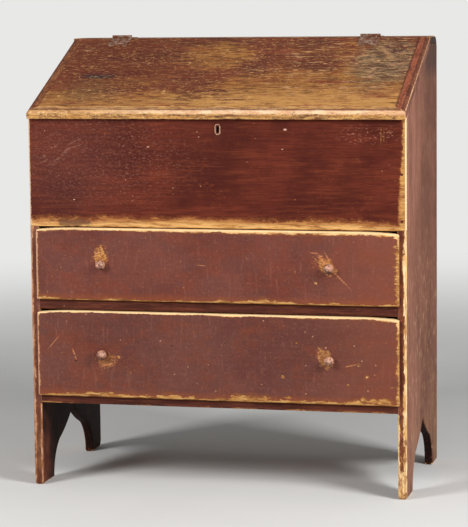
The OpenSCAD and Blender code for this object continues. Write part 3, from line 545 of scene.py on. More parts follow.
def lid_marks(shade, colour, mid, fine):
    """Ochre rubbing over the lid's red paint, a dark stain at the left and grey scratches at the right."""
    streak = shade.cloud(62, (0.10, 1, 1), 5, 0.72, 21)
    dashes = shade.cloud(125, (0.24, 1, 1), 5, 0.8, 22)
    patch = shade.cloud(10, (0.7, 1, 1), 4, 0.6, 23)
    mask, ochre = lid_ochre(shade, streak, dashes, patch)
    redden = streak.rise(0.50, 0.60) * patch.rise(0.42, 0.58, 0.85, 0.25)
    gloom = lid_spot(shade, -0.31, 0.28, 0.27, 0.30).rise(0.0, 0.8, 0.6)
    dull = lid_spot(shade, -0.337, 0.10, 0.11, 0.10).rise(0.1, 0.8, 0.6)
    dark = shade.cloud(110, (0.16, 1, 1), 5, 0.75, 26)
    colour = layered(colour, (
        (mask, ochre),
        (redden, rgb(124, 50, 32)),
        (gloom, rgb(90, 38, 20)),
        (dull * dashes.fall(0.38, 0.60, 1.0, 0.4), rgb(98, 72, 46)),
        (dark.rise(0.52, 0.62, 0.7), rgb(74, 34, 22)),
    ))
    for x, up, half_x, half_y, tint, share in ((-0.330, 0.186, 0.075, 0.032, rgb(44, 36, 38), 0.9),
                                               (-0.285, 0.200, 0.17, 0.026, rgb(86, 30, 22), 0.7),
                                               (-0.310, 0.288, 0.07, 0.016, rgb(78, 28, 22), 0.8)):
        spot = lid_spot(shade, x, up, half_x, half_y) - 0.10
        stain = shade.ragged(spot, streak, dashes, 0.22, 0.50, 1.5, 0.9)
        near = lid_spot(shade, x, up, half_x * 1.3, half_y * 1.3).rise(0.02, 0.2)
        colour = (stain * (near * share)).mix(colour, tint)
    leaning = shade.strokes(95, 20, 5, 29)
    scratched = shade.ragged(lid_spot(shade, 0.365, 0.25, 0.11, 0.19), streak, dashes, 0.16, 0.50, 1.3, 1.0)
    grey = dashes.rise(0.42, 0.56).mix(rgb(56, 38, 32), rgb(126, 108, 80))
    teal = shade.cloud(42, (0.6, 1, 1), 3, 0.6, 30).rise(0.54, 0.66, 0.7)
    grey = teal.mix(grey, rgb(84, 96, 76))
    grey = leaning.rise(0.53, 0.60, 0.8).mix(grey, rgb(54, 34, 34))
    grey = leaning.fall(0.40, 0.45, 0.8).mix(grey, rgb(186, 146, 112))
    lines = shade.cloud(135, (0.16, 1, 1), 4, 0.75, 25)
    reach = lid_spot(shade, 0.30, 0.24, 0.28, 0.24).rise(0, 0.4, 1.0, 0.25)
    pale = lines.rise(0.57, 0.65) * reach
    specks = shade.cloud(170, (0.42, 1, 1), 4, 0.8, 24)
    bright = specks.rise(0.55, 0.63) * patch.fall(0.35, 0.60, 0.95, 0.45)
    flecks = shade.dots(60, 0.16, 0.30, (0.45, 1, 1), 35)
    joint = shade.y.fall(LID_JOINT_Y + 0.001, LID_JOINT_Y + 0.0055)
    right_end = shade.x.rise(LID_END_X - 0.004, LID_END_X - 0.0015, 0.55)
    end_face = shade.x.rise(CASE_HALF - 0.004, CASE_HALF - 0.001, 0.92)
    return layered(colour, (
        (scratched * 0.68, grey),
        (pale * 0.8, rgb(212, 166, 118)),
        (bright, rgb(206, 152, 96)),
        (flecks * 0.8, rgb(220, 170, 112)),
        (joint * mid.rise(0.36, 0.52, 0.5, 0.1), rgb(110, 56, 32)),
        (right_end, rgb(70, 34, 26)),
        (end_face, mid.rise(0.4, 0.6).mix(rgb(52, 38, 33), rgb(38, 28, 26))),
        (lid_underside(shade), old_pine(shade, ALONG_X)),
    ))


def rail_extra(low_edge):
    """A little rubbing in places along the lower edge."""
    def made(shade):
        patch = shade.cloud(24, (0.4, 1, 1), 4, 0.65, 38).rise(0.42, 0.60, 0.7, 0.1)
        foot = shade.z.fall(low_edge + 0.0015, low_edge + 0.006)
        return foot * patch
    return made


def rail_wood(shade):
    """Bare wood of the rail and the bottom board."""
    return worn_wood(shade, ALONG_X, rgb(176, 126, 78), rgb(146, 98, 58), rgb(112, 70, 42), 0.6)


def rail_paint(name, seed, extra):
    """Paint of the rail and the bottom board."""
    return worn_paint(name, seed, ALONG_X, rgb(86, 44, 34), rgb(62, 31, 26), rgb(116, 64, 46), 0.0005,
                      extra, wood=rail_wood, fleck=0.5, chips=0.1)


def knob_halo(shade, x, z, lean_x, lean_z, turn):
    """Rubbed patch behind one knob, leaning to one side, scratched in one direction."""
    place = (x + lean_x, DRAWER_FRONT_Y, z + lean_z)
    wide = shade.blob(place, (0.046, 0.05, 0.030), (0, turn, 0)).rise(0.0, 0.9)
    burst = shade.strokes(150, turn, 3.5, 37)
    crossing = shade.strokes(190, turn - 65, 2.5, 39)
    return shade.ragged(wide, burst, crossing, 0.40, 0.72, 1.9, 1.7)


def below_top(shade, high_edge):
    """Depth of a place under the worn top edge of a drawer front."""
    inward = abs(shade.x) - (DRAWER_HALF - WORN_LEN)
    share = shade.most(inward, 0.0) / WORN_LEN
    drop = share ** 2.0 * WORN_DROP
    return high_edge - shade.z - drop


def drawer_marks(halos, scratches, dark, low_edge):
    """Mottled paint, with rubbed halos behind the knobs, long scratches and dark spots."""
    def made(shade, colour, mid, fine):
        mottle = shade.cloud(24, (0.8, 1, 1), 5, 0.68, 41)
        warm = shade.cloud(17, (0.7, 1, 1), 5, 0.68, 43)
        speckle = shade.cloud(210, (0.8, 1, 0.7), 4, 0.75, 44)
        brush = shade.cloud(120, (1, 1, 0.10), 4, 0.7, 45)
        right = shade.x.rise(0.18, 0.44, 0.4)
        colour = layered(colour, (
            (mottle.rise(0.44, 0.62, 0.5), rgb(98, 62, 55)),
            (warm.rise(0.48, 0.64, 0.45), rgb(122, 60, 42)),
            (speckle.rise(0.54, 0.68, 0.26), rgb(154, 98, 82)),
            (speckle.fall(0.34, 0.46, 0.26), rgb(80, 42, 36)),
            (brush.rise(0.58, 0.68, 0.25), rgb(146, 94, 80)),
            (right, rgb(136, 78, 58)),
        ))
        burnish = fine.rise(0.42, 0.58).mix(rgb(156, 92, 48), rgb(214, 158, 92))
        for strength, *halo in halos:
            mask = knob_halo(shade, *halo) * (0.9 * strength)
            colour = mask.mix(colour, burnish)
        for x, z, length, width, turn in scratches:
            line = shade.blob((x, DRAWER_FRONT_Y, z), (length, 0.03, width), (0, turn, 0)).rise(0.05, 0.6)
            broken = line * fine.rise(0.40, 0.56, 0.85, 0.05)
            colour = broken.mix(colour, rgb(198, 130, 84))
        for x, z, size in dark:
            spot = shade.blob((x, DRAWER_FRONT_Y, z), (size, 0.03, size * 0.6)).rise(0.2, 0.5)
            colour = spot.mix(colour, GRIME)
        soot = (shade.z - low_edge).fall(0.004, 0.024, 0.45)
        return soot.mix(colour, rgb(142, 74, 42))
    return made


def drawer_extra(low_edge, high_edge, top_reach, low_reach, right_reach, patches_at):
    """Wear along the top, wider to the right, in patches along the foot and in notches at the right end."""
    def made(shade):
        drift = shade.cloud(16, (0.6, 1, 1), 4, 0.65, 31)
        reach = shade.x.rise(-0.35, 0.40, top_reach, 0.6 * top_reach) * (drift + 0.5)
        top = band(below_top(shade, high_edge), reach)
        patches = shade.cloud(22, (0.4, 1, 1), 4, 0.7, 36)
        low = band(shade.z - low_edge, patches.rise(0.42, 0.62, low_reach, 0.25 * low_reach))
        teeth = shade.cloud(85, (0.22, 1, 1), 4, 0.7, 32)
        right = band(DRAWER_HALF - shade.x, teeth.rise(0.38, 0.62, right_reach, 0.35 * right_reach))
        left = band(shade.x + DRAWER_HALF, 0.010)
        front = shade.y.fall(DRAWER_FRONT_Y + 0.002, DRAWER_FRONT_Y + 0.005)
        ends = shade.most(right, left) * front
        found = shade.most(top, low, ends)
        for x, z, half_x, half_z in patches_at:
            patch = shade.blob((x, DRAWER_FRONT_Y, z), (half_x, 0.02, half_z)).rise(0.0, 1.0, 0.75)
            found = shade.most(found, patch)
        return found
    return made


def drawer_wood(high_edge):
    """Bare wood of a drawer front: cream on the top edge, duller and browner along the foot."""
    def made(shade):
        colour = worn_wood(shade, ALONG_X, rgb(242, 200, 140), rgb(212, 156, 94), rgb(170, 112, 60), 0.4)
        foot = (high_edge - shade.z).rise(0.02, 0.04)
        brown = worn_wood(shade, ALONG_X, rgb(214, 166, 102), rgb(168, 114, 60), rgb(122, 74, 42), 0.7)
        left = shade.x.fall(0.004 - DRAWER_HALF, 0.010 - DRAWER_HALF)
        crest = below_top(shade, high_edge).fall(0.0020, 0.005, 0.65)
        return layered(colour, (
            (foot, brown),
            (left * 0.7, rgb(206, 158, 128)),
            (crest, CREAM),
        ))
    return made


def drawer_chips(low_edge):
    """Chips are many at the right and towards the foot."""
    def made(shade):
        right = shade.x.rise(-0.05, 0.36, 1.0, 0.2)
        low = (shade.z - low_edge).fall(0.01, 0.10, 1.0, 0.55)
        return right * low
    return made


def drawer_paint(name, seed, edges, colours, reaches, halos, scratches, dark, chips):
    """Paint of a drawer front between its lower and upper edge."""
    low_edge, high_edge = edges
    return worn_paint(name, seed, ALONG_X, *colours, 0.0012, drawer_extra(low_edge, high_edge, *reaches),
                      drawer_marks(halos, scratches, dark, low_edge), drawer_wood(high_edge),
                      fleck=0.2, streak=0.12, wide_streak=0.2, rough=0.5, chips=chips,
                      chip_region=drawer_chips(low_edge))


LOWER_PATCHES = ((0.356, 0.236, 0.018, 0.016), (0.400, 0.230, 0.060, 0.018), (0.365, 0.290, 0.011, 0.011),
                 (0.198, 0.366, 0.008, 0.005), (0.320, 0.270, 0.006, 0.005))

PAINTS = {
    "front_panel": worn_paint("panel_red", 1.0, ALONG_X, rgb(98, 42, 30), rgb(72, 29, 22), rgb(126, 60, 38),
                              0.006, panel_extra, panel_marks, panel_wood, fleck=0.45, streak=0.6,
                              wide_streak=0.4, rough=0.5, chips=0.15, rim_region=panel_front),
    "rail": rail_paint("rail_red", 1.5, None),
    "bottom": rail_paint("bottom_red", 1.7, rail_extra(FOOT_H)),
    "side": worn_paint("side_red", 2.0, ALONG_Z, rgb(124, 80, 64), rgb(98, 61, 48), rgb(146, 98, 78),
                       0.0075, side_extra, side_marks, side_wood, fleck=0.4, streak=0.3, wide_streak=0.4,
                       rough=0.6, chips=0.2, rim_region=side_rim),
    "lid": worn_paint("lid_red", 3.0, ALONG_X, rgb(112, 54, 34), rgb(86, 42, 28), rgb(138, 76, 44),
                      0.0020, decorate=lid_marks, fleck=0.5, wide_streak=0.5, chips=0.3),
    "upper_drawer": drawer_paint(
        "upper_drawer_red", 4.0, UPPER_EDGES, (rgb(114, 65, 56), rgb(101, 55, 47), rgb(128, 75, 62)),
        reaches=(0.016, 0.022, 0.024, ()),
        halos=((0.9, -KNOB_X, UPPER_KNOB_Z, -0.001, 0.016, 76),
               (0.75, KNOB_X, UPPER_KNOB_Z, -0.008, 0.006, 45)),
        scratches=((KNOB_X + 0.010, UPPER_KNOB_Z - 0.008, 0.075, 0.0026, 44),
                   (KNOB_X - 0.014, UPPER_KNOB_Z + 0.018, 0.036, 0.0040, 52),
                   (KNOB_X + 0.004, UPPER_KNOB_Z + 0.012, 0.044, 0.0030, 60),
                   (KNOB_X - 0.036, UPPER_KNOB_Z + 0.036, 0.016, 0.0018, 8),
                   (-0.03, 0.545, 0.016, 0.0012, 4)),
        dark=((0.07, 0.50, 0.002),), chips=0.35),
    "lower_drawer": drawer_paint(
        "lower_drawer_red", 5.0, LOWER_EDGES, (rgb(108, 65, 56), rgb(95, 55, 48), rgb(122, 76, 64)),
        reaches=(0.010, 0.034, 0.014, LOWER_PATCHES),
        halos=((0.35, -KNOB_X, LOWER_KNOB_Z, 0.010, -0.016, -16),
               (0.6, KNOB_X, LOWER_KNOB_Z, -0.010, 0.004, 62)),
        scratches=((-0.400, 0.352, 0.030, 0.0016, -48),
                   (-KNOB_X + 0.014, LOWER_KNOB_Z - 0.024, 0.028, 0.0030, -18),
                   (-0.348, 0.325, 0.020, 0.0024, 70),
                   (KNOB_X - 0.026, LOWER_KNOB_Z + 0.010, 0.022, 0.0030, 80),
                   (KNOB_X + 0.050, LOWER_KNOB_Z - 0.010, 0.020, 0.0024, -14)),
        dark=((-0.345, 0.309, 0.004), (-0.105, 0.352, 0.003)), chips=1.0),
}


def front_moulding_material():
    """Moulding rubbed to a pinkish cream on its round, painted pale there also as a highlight, with painted
    glints; ochre under it, and like the lid above its step.
    """
    shade = Shade("front_moulding_rubbed_highlit", 6.0)
    mid = shade.cloud(44, (0.35, 1, 1), 5, 0.7, 1)
    fine = shade.cloud(230, (0.5, 1, 1), 4, 0.75, 2)
    left = shade.x.fall(-0.36, 0.02)
    round_part = shade.z.rise(LID_Z + 0.002, LID_Z + 0.015)
    # The cream on the round is partly rubbed wood and partly a painted highlight.
    cream = mid.rise(0.40, 0.60).mix(rgb(240, 204, 166), rgb(212, 160, 118))
    brown = mid.rise(0.40, 0.58).mix(rgb(196, 142, 76), rgb(146, 96, 48))
    colour = (left * 0.85).mix(cream, brown)
    low = worn_wood(shade, ALONG_X, rgb(226, 172, 100), rgb(184, 128, 66), rgb(126, 80, 40), 0.9)
    mask = shade.ragged(round_part, mid, fine, 0.34, 0.68, 1.3, 1.0)
    colour = mask.mix(low, colour)
    # Painted glints: small bright specks.
    glints = shade.cloud(210, (0.7, 1, 1), 4, 0.75, 8).rise(0.54, 0.64, 0.6)
    specks = shade.cloud(190, (0.6, 1, 1), 4, 0.75, 7).rise(0.55, 0.64, 0.75)
    low_specks = shade.z.fall(LID_Z + 0.004, LID_Z + 0.018, 1.0, 0.35)
    dashes = shade.cloud(125, (0.24, 1, 1), 5, 0.8, 22)
    flat = dashes.rise(0.42, 0.58).mix(rgb(132, 82, 42), rgb(196, 144, 78))
    flat = fine.rise(0.54, 0.64, 0.7).mix(flat, rgb(222, 174, 112))
    line = shade.y.rise(STEP_Y - 0.0002, STEP_Y + 0.0004) * shade.y.fall(STEP_Y + 0.0020, STEP_Y + 0.0045)
    colour = layered(colour, (
        (glints, rgb(240, 200, 138)),
        (specks * low_specks, rgb(92, 52, 32)),
        (shade.y.rise(STEP_Y + 0.0002, STEP_Y + 0.0010), flat),
        (line * mid.rise(0.36, 0.52, 0.95, 0.45), rgb(88, 36, 24)),
    ))
    height = fine * 0.6 - specks * 0.5
    return shade.finish(colour, mid.rise(0.4, 0.6, 0.65, 0.42), height, 0.0006, 0.6, 0.3)


def end_moulding_material(name, seed, round_tones, flat_tones, line_share):
    """Moulding at one end of the lid: a dark line at its step, and a pale line along its round, partly rubbed
    and partly a painted highlight.
    """
    shade = Shade(name, seed)
    mid = shade.cloud(46, (1, 0.3, 0.5), 5, 0.7, 1)
    fine = shade.cloud(210, (1, 0.5, 0.8), 4, 0.75, 2)
    out = CASE_HALF - abs(shade.x)
    on_flat = out.rise(THUMBNAIL_R - 0.0005, THUMBNAIL_R + 0.0005)
    tones = [on_flat.mix(on_round, flat) for on_round, flat in zip(round_tones, flat_tones)]
    colour = mid.rise(0.40, 0.58).mix(tones[0], tones[1])
    stains = shade.cloud(110, (1, 0.3, 0.5), 4, 0.7, 3)
    step = out.rise(THUMBNAIL_R - 0.0018, THUMBNAIL_R - 0.0006)
    step = step * out.fall(THUMBNAIL_R + 0.0008, THUMBNAIL_R + 0.0020)
    end_face = out.fall(0.0001, 0.0008, 0.9)
    plain = mid.rise(0.42, 0.58).mix(rgb(124, 80, 66), rgb(98, 60, 50))
    # Pale line along the round near its outer face: partly rubbed wood, partly a painted highlight.
    rub = out.rise(0.0002, 0.0008) * out.fall(0.0014, 0.0028)
    foot = shade.y.fall(STEP_Y - 0.001, STEP_Y + 0.008)
    worn = shade.ragged(shade.most(rub * 0.75, foot), mid, fine, 0.42, 0.60, 1.3, 0.9)
    upper = shade.y.rise(FRONT_Y + 0.05, RIDGE_Y - 0.05, 0.8)
    bare = upper.mix(fine.rise(0.42, 0.58).mix(rgb(176, 120, 84), rgb(220, 174, 136)), rgb(146, 104, 76))
    colour = layered(colour, (
        (fine.rise(0.50, 0.64, 0.7), tones[2]),
        (stains.rise(0.54, 0.66, 0.7), rgb(66, 30, 22)),
        (step * line_share, rgb(52, 26, 20)),
        (end_face, plain),
        (worn, bare),
    ))
    height = fine * 0.4 - worn * 0.4
    return shade.finish(colour, mid.rise(0.4, 0.6, 0.65, 0.5), height, gloss=0.1)


PAINTS["front_moulding"] = front_moulding_material()
PAINTS["left_moulding"] = end_moulding_material("left_moulding_red", 7.0,
                                                (rgb(112, 54, 36), rgb(84, 42, 30), rgb(150, 82, 54)),
                                                (rgb(128, 76, 42), rgb(100, 52, 32), rgb(178, 122, 72)), 0.45)
PAINTS["right_moulding"] = end_moulding_material("right_moulding_red", 7.5,
                                                 (rgb(118, 66, 46), rgb(88, 48, 36), rgb(156, 104, 66)),
                                                 (rgb(144, 74, 48), rgb(112, 56, 38), rgb(178, 112, 80)), 0.5)


def bare_pine(name, seed, grain):
    """Unpainted board."""
    shade = Shade(name, seed)
    fine = shade.cloud(240, grain, 3, 0.6, 2)
    return shade.finish(old_pine(shade, grain), 0.7, fine, 0.0004, 0.4)


def back_pine(name, seed):
    """Back board, darker than the boards inside, and darkest along its edges."""
    shade = Shade(name, seed)
    fine = shade.cloud(240, ALONG_X, 3, 0.6, 2)
    colour = shade.mix(0.45, old_pine(shade, ALONG_X), rgb(112, 88, 68))
    rub = shade.cloud(60, (0.3, 1, 1), 4, 0.65, 3)
    edge = shade.ragged(shade.edge().fall(0.0, 0.006), rub, fine, 0.40, 0.75, 0.8, 0.4)
    colour = (edge * 0.75).mix(colour, rgb(62, 44, 34))
    return shade.finish(colour, 0.75, fine, 0.0005, 0.5)


def old_metal(name, seed, dark, mid, light, metal, rough, painted=None):
    """Dull metal with rust or tarnish, and some paint left on it where painted is given."""
    shade = Shade(name, seed)
    broad = shade.cloud(70, (1, 1, 1), 4, 0.6, 1)
    fine = shade.cloud(420, (1, 1, 1), 3, 0.6, 2)
    colour = broad.rise(0.38, 0.62).mix(dark, mid)
    colour = fine.rise(0.50, 0.66, 0.8).mix(colour, light)
    if painted:
        blotch = shade.cloud(120, (0.7, 1, 1), 4, 0.7, 3)
        colour = shade.ragged(0.50, blotch, fine, 0.42, 0.54, 1.9, 0.8).mix(colour, painted)
    shade.surface.inputs["Metallic"].default_value = metal
    height = broad * 0.6 + fine * 0.3
    return shade.finish(colour, fine.rise(0.3, 0.7, rough + 0.2, rough), height, 0.0004, 0.5)


PAINTS["bare"] = bare_pine("bare_pine_across", 8.0, ALONG_X)
PAINTS["bare_deep"] = bare_pine("bare_pine_deep", 8.3, ALONG_Y)
for level, seed in (("upper", 14.0), ("middle", 15.2), ("lower", 16.4)):
    PAINTS[f"back_{level}"] = back_pine(f"back_pine_{level}", seed)
PAINTS["iron"] = old_metal("old_iron", 9.0, rgb(58, 48, 44), rgb(92, 80, 72), rgb(132, 122, 112), 0.6, 0.5)
PAINTS["hinge"] = old_metal("rubbed_hinge", 10.4, rgb(116, 92, 78), rgb(160, 132, 114), rgb(204, 178, 156),
                            0.1, 0.6, rgb(108, 62, 44))
PAINTS["nail"] = old_metal("painted_nail", 11.0, rgb(66, 34, 28), rgb(88, 44, 34), rgb(112, 62, 46), 0.1, 0.6)
PAINTS["pale_nail"] = old_metal("rubbed_nail", 11.5, rgb(150, 100, 62), rgb(176, 124, 78), rgb(204, 154, 106),
                                0.1, 0.6)
PAINTS["brass"] = old_metal("old_brass", 12.0, rgb(160, 122, 100), rgb(190, 150, 126), rgb(216, 182, 160),
                            0.2, 0.5)


def escutcheon_material():
    """Old plate, rubbed pale along its rim, with painted shade dark over its middle round the keyhole."""
    shade = Shade("escutcheon_painted_keyhole_shade", 12.5)
    across = shade.x - KEY_X
    above = abs(shade.z - KEY_Z)
    beyond = shade.most(above - PLATE_STRAIGHT, 0.0)
    squares = across * across + beyond * beyond
    rim = squares.rise((PLATE_HALF - 0.0025) ** 2, (PLATE_HALF - 0.0015) ** 2)
    fine = shade.cloud(420, (1, 1, 1), 3, 0.6, 2)
    pale = fine.rise(0.42, 0.60).mix(rgb(160, 116, 94), rgb(206, 164, 138))
    # Painted shade: the middle of the plate is dark like the shade in a keyhole opening.
    dark = fine.rise(0.42, 0.60).mix(rgb(62, 34, 26), rgb(92, 52, 40))
    shade.surface.inputs["Metallic"].default_value = 0.2
    return shade.finish(rim.mix(dark, pale), 0.6, fine, 0.0003, 0.4)


PAINTS["escutcheon"] = escutcheon_material()


def knob_material():
    """Paint rubbed to pinkish wood all over the knob, and painted shade that darkens it the more it faces
    down.
    """
    shade = Shade("knob_rubbed_with_painted_shade", 13.0)
    mid = shade.cloud(120, (1, 1, 1), 3, 0.6, 1)
    fine = shade.cloud(420, (1, 1, 1), 3, 0.6, 2)
    colour = mid.rise(0.40, 0.58).mix(rgb(104, 52, 40), rgb(188, 128, 102))
    # Painted shade: darker where the surface faces down.
    painted_shade_below = shade.facing_up().fall(-0.75, 0.15, 0.85)
    colour = layered(colour, (
        (fine.rise(0.46, 0.64, 0.7), rgb(238, 194, 164)),
        (painted_shade_below, mid.rise(0.4, 0.6).mix(rgb(62, 30, 24), rgb(104, 58, 44))),
    ))
    return shade.finish(colour, mid.rise(0.3, 0.7, 0.5, 0.28), fine, 0.0004, 0.4, 0.45)


PAINTS["knob"] = knob_material()


# Boards cut from the frame's own solids, with their edges worn round


def plane(point, normal):
    """Field of a flat outer face: the depth of a place under it, and the way out."""
    point = Vector(point)
    normal = Vector(normal).normalized()
    return lambda place: ((point - place).dot(normal), normal)


def along(axis, length):
    """Vector of a length along one axis."""
    found = Vector((0, 0, 0))
    found[axis] = length
    return found


def box_fields(low, high, axes):
    """Outer faces of a box, across the axes given."""
    return [plane(corner, along(axis, sign)) for axis in axes for corner, sign in ((low, -1), (high, 1))]


def smooth_step(value, low, high):
    """0 below low, 1 above high, and smooth between them."""
    share = min(1.0, max(0.0, (value - low) / (high - low)))
    return share * share * (3 - 2 * share)


def wear_radius(place, base, extra, seed):
    """Radius of the worn edge at a place, with a softer stretch here and there and a few chips."""
    slow = 0.5 + 0.5 * noise.noise(place * 9 + Vector((seed, 0, 0)))
    quick = noise.noise(place * 70 + Vector((0, seed, 0)))
    return base + extra * slow * slow + extra * 0.8 * smooth_step(quick, 0.25, 0.6)


def grid_places(low, high, grid, cuts):
    """Where one axis is cut: evenly, and closer together near both ends."""
    count = max(1, round((high - low) / grid))
    places = [low + (high - low) * i / count for i in range(1, count)]
    for offset in cuts:
        places += [low + offset, high - offset]
    if high - low < 2 * cuts[-1] + grid:
        places = [low + offset for offset in cuts] + [high - offset for offset in cuts]
    return [place for place in places if low + 1e-5 < place < high - 1e-5]


def worn_place(co, found, radius):
    """Place of a point once the edge near it is worn round, from its depths under the outer faces."""
    pull = Vector((0, 0, 0))
    for depth, normal in found:
        if depth < radius:
            pull += (radius - depth) * normal
    if pull.length > radius:
        return co - pull * (1 - radius / pull.length)
    return co.copy()


def make_piece(name, mesh, material, sharp=None):
    """New object of a mesh, smooth but for edges sharper than the angle given."""
    data = bpy.data.meshes.new(name)
    mesh.to_mesh(data)
    mesh.free()
    if sharp:
        data.polygons.foreach_set("use_smooth", [True] * len(data.polygons))
        data.set_sharp_from_angle(angle=math.radians(sharp))
    data.materials.append(material)
    piece = bpy.data.objects.new(name, data)
    bpy.context.collection.objects.link(piece)
    return piece


def worn_board(node, body, paint, fields=None, base=0.0010, extra=0.0022, grid=0.012, seed=0.0,
               local=ROW_FRAME, bend=None, cuts=(0.0006, 0.0015, 0.003, 0.005), curved=None, axes=(0, 1, 2),
               softer=None):
    """Copy of a CAD board on a fine grid, worn round at its edges, that keeps the distance to its edges.

    base and extra give the radius of the wear, and softer adds to it in places. The edges that curved picks
    are bevelled first, and bend moves the worn places.
    """
    mesh = bmesh.new()
    mesh.from_mesh(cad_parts[node].data)
    mesh.transform(local.inverted())
    bmesh.ops.remove_doubles(mesh, verts=mesh.verts, dist=2e-6)
    bmesh.ops.dissolve_limit(mesh, angle_limit=math.radians(0.5), verts=mesh.verts, edges=mesh.edges)
    if curved:
        rims = [edge for edge in mesh.edges if curved(edge)]
        bmesh.ops.bevel(mesh, geom=rims, offset=0.002, offset_type="OFFSET", segments=3, profile=0.5,
                        affect="EDGES", clamp_overlap=True)
    low, high = (Vector([pick(vert.co[axis] for vert in mesh.verts) for axis in range(3)])
                 for pick in (min, max))
    for axis in range(3):
        for place in grid_places(low[axis], high[axis], grid, cuts):
            geometry = mesh.verts[:] + mesh.edges[:] + mesh.faces[:]
            bmesh.ops.bisect_plane(mesh, geom=geometry, dist=1e-6, plane_co=along(axis, place),
                                   plane_no=along(axis, 1))
    fields = fields or box_fields(low, high, axes)
    edges = []
    for vert in mesh.verts:
        found = [field(vert.co) for field in fields]
        edges.append(max(0.0, sorted(depth for depth, normal in found)[1]))
        radius = wear_radius(vert.co, base, extra, seed) + (softer(vert.co) if softer else 0)
        place = worn_place(vert.co, found, radius)
        vert.co = bend(place) if bend else place
    mesh.transform(local)
    piece = make_piece(f"{node}_worn", mesh, PAINTS[paint], 42)
    piece.data.attributes.new("edge", "FLOAT", "POINT").data.foreach_set("value", edges)
    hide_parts(node)
    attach(piece, body)


def drawer_fields(low_z, high_z):
    """Outer faces of a lipped drawer front, whose top edge is worn down towards its ends."""
    def top(place):
        inward = max(0.0, abs(place.x) - (DRAWER_HALF - WORN_LEN))
        return high_z - WORN_DROP * (inward / WORN_LEN) ** 2 - place.z, Vector((0, 0, 1))
    return [plane((0, DRAWER_FRONT_Y, 0), (0, -1, 0)), plane((0, 0, low_z), (0, 0, -1)), top,
            plane((-DRAWER_HALF, 0, 0), (-1, 0, 0)), plane((DRAWER_HALF, 0, 0), (1, 0, 0))]


def side_fields(sign):
    """Outer faces of a side board."""
    return [plane((sign * CASE_HALF, 0, 0), (sign, 0, 0)), plane((sign * INNER_HALF, 0, 0), (-sign, 0, 0)),
            plane((0, FRONT_Y, 0), (0, -1, 0)), plane((0, BACK_Y, 0), (0, 1, 0)),
            plane((0, 0, 0), (0, 0, -1))]


def on_arch(edge):
    """Whether an edge runs round the arch of a side board, on its inner or outer face."""
    first, second = (vert.co for vert in edge.verts)
    near = all(abs(co.y - ARCH_MIDDLE_Y) < ARCH_HALF + 0.0005 and co.z < ARCH_H + 0.0005
               for co in (first, second))
    return near and abs(first.x - second.x) < 1e-6 and edge.is_manifold and edge.calc_face_angle(0) > 1.0


def chipped_foot(place):
    """The rear corner of the left back foot is broken away at the floor."""
    if place.x > 0 or place.z > 0.03 or place.y < BACK_Y - 0.03:
        return place
    normal = Vector((0, 0.80, -0.60))
    depth = (place - Vector((0, BACK_Y - 0.010, 0.0))).dot(normal)
    rough = 0.0012 * noise.noise(place * 160)
    return place - normal * max(0.0, depth + rough)


def rounder_foot(place):
    """The feet are worn rounder at the floor."""
    return 0.0045 * smooth_step(0.016 - place.z, 0, 0.016)


def rounder_back(place):
    """The top board is worn rounder along its upper back edge."""
    back = smooth_step(place.y, BACK_Y - 0.03, BACK_Y - 0.01)
    return 0.006 * back * smooth_step(place.z, TOP_Z - 0.014, TOP_Z - 0.007)


for name, sign in (("side_left", -1), ("side_right", 1)):
    worn_board(name, "case", "side", side_fields(sign), base=0.0012, extra=0.0026, grid=0.014,
               seed=sign * 3.0, bend=chipped_foot, curved=on_arch, softer=rounder_foot)
worn_board("front_panel", "case", "front_panel", seed=5.0)
worn_board("top_board", "case", "lid", base=0.002, seed=6.0, softer=rounder_back)
worn_board("drawer_rail", "case", "rail", seed=7.0, grid=0.02, axes=(1, 2))
worn_board("bottom_board", "case", "bottom", seed=8.0, grid=0.024, axes=(1, 2))
worn_board("lid_board", "lid", "lid", seed=9.0, local=LID_FRAME, base=0.0006, extra=0.0008,
           axes=(1, 2))
for level, seed in (("upper", 15.0), ("middle", 16.0), ("lower", 17.0)):
    worn_board(f"back_board_{level}", "case", f"back_{level}", seed=seed, base=0.0008, grid=0.05,
               axes=(1, 2))
for hand in ("left", "right"):
    worn_board(f"lid_{hand}_moulding", "lid", f"{hand}_moulding", seed=10.0, local=LID_FRAME)
worn_board("lid_front_moulding", "lid", "front_moulding", seed=11.0, local=LID_FRAME,
           extra=0.003)
worn_board("upper_drawer_front", "upper_drawer", "upper_drawer", drawer_fields(*UPPER_EDGES),
           seed=12.0, base=0.003)
worn_board("lower_drawer_front", "lower_drawer", "lower_drawer", drawer_fields(*LOWER_EDGES),
           seed=13.0, base=0.003)


# Knobs, turned and worn


def knob_profile():
    """Distance out from the drawer front and radius, from the foot ring to the tip."""
    middle = KNOB_REACH - KNOB_R
    points = [(0.0, 0.0072), (0.0007, 0.0075), (0.0014, 0.0072), (0.0016, 0.0058), (0.0024, 0.0054),
              (0.0032, 0.0058), (0.0040, 0.0075), (0.0048, 0.0096)]
    steps = 14
    for i in range(steps + 1):
        angle = math.radians(-22 + 112 * i / steps)
        points.append((middle + KNOB_R * math.sin(angle), KNOB_R * math.cos(angle)))
    return points


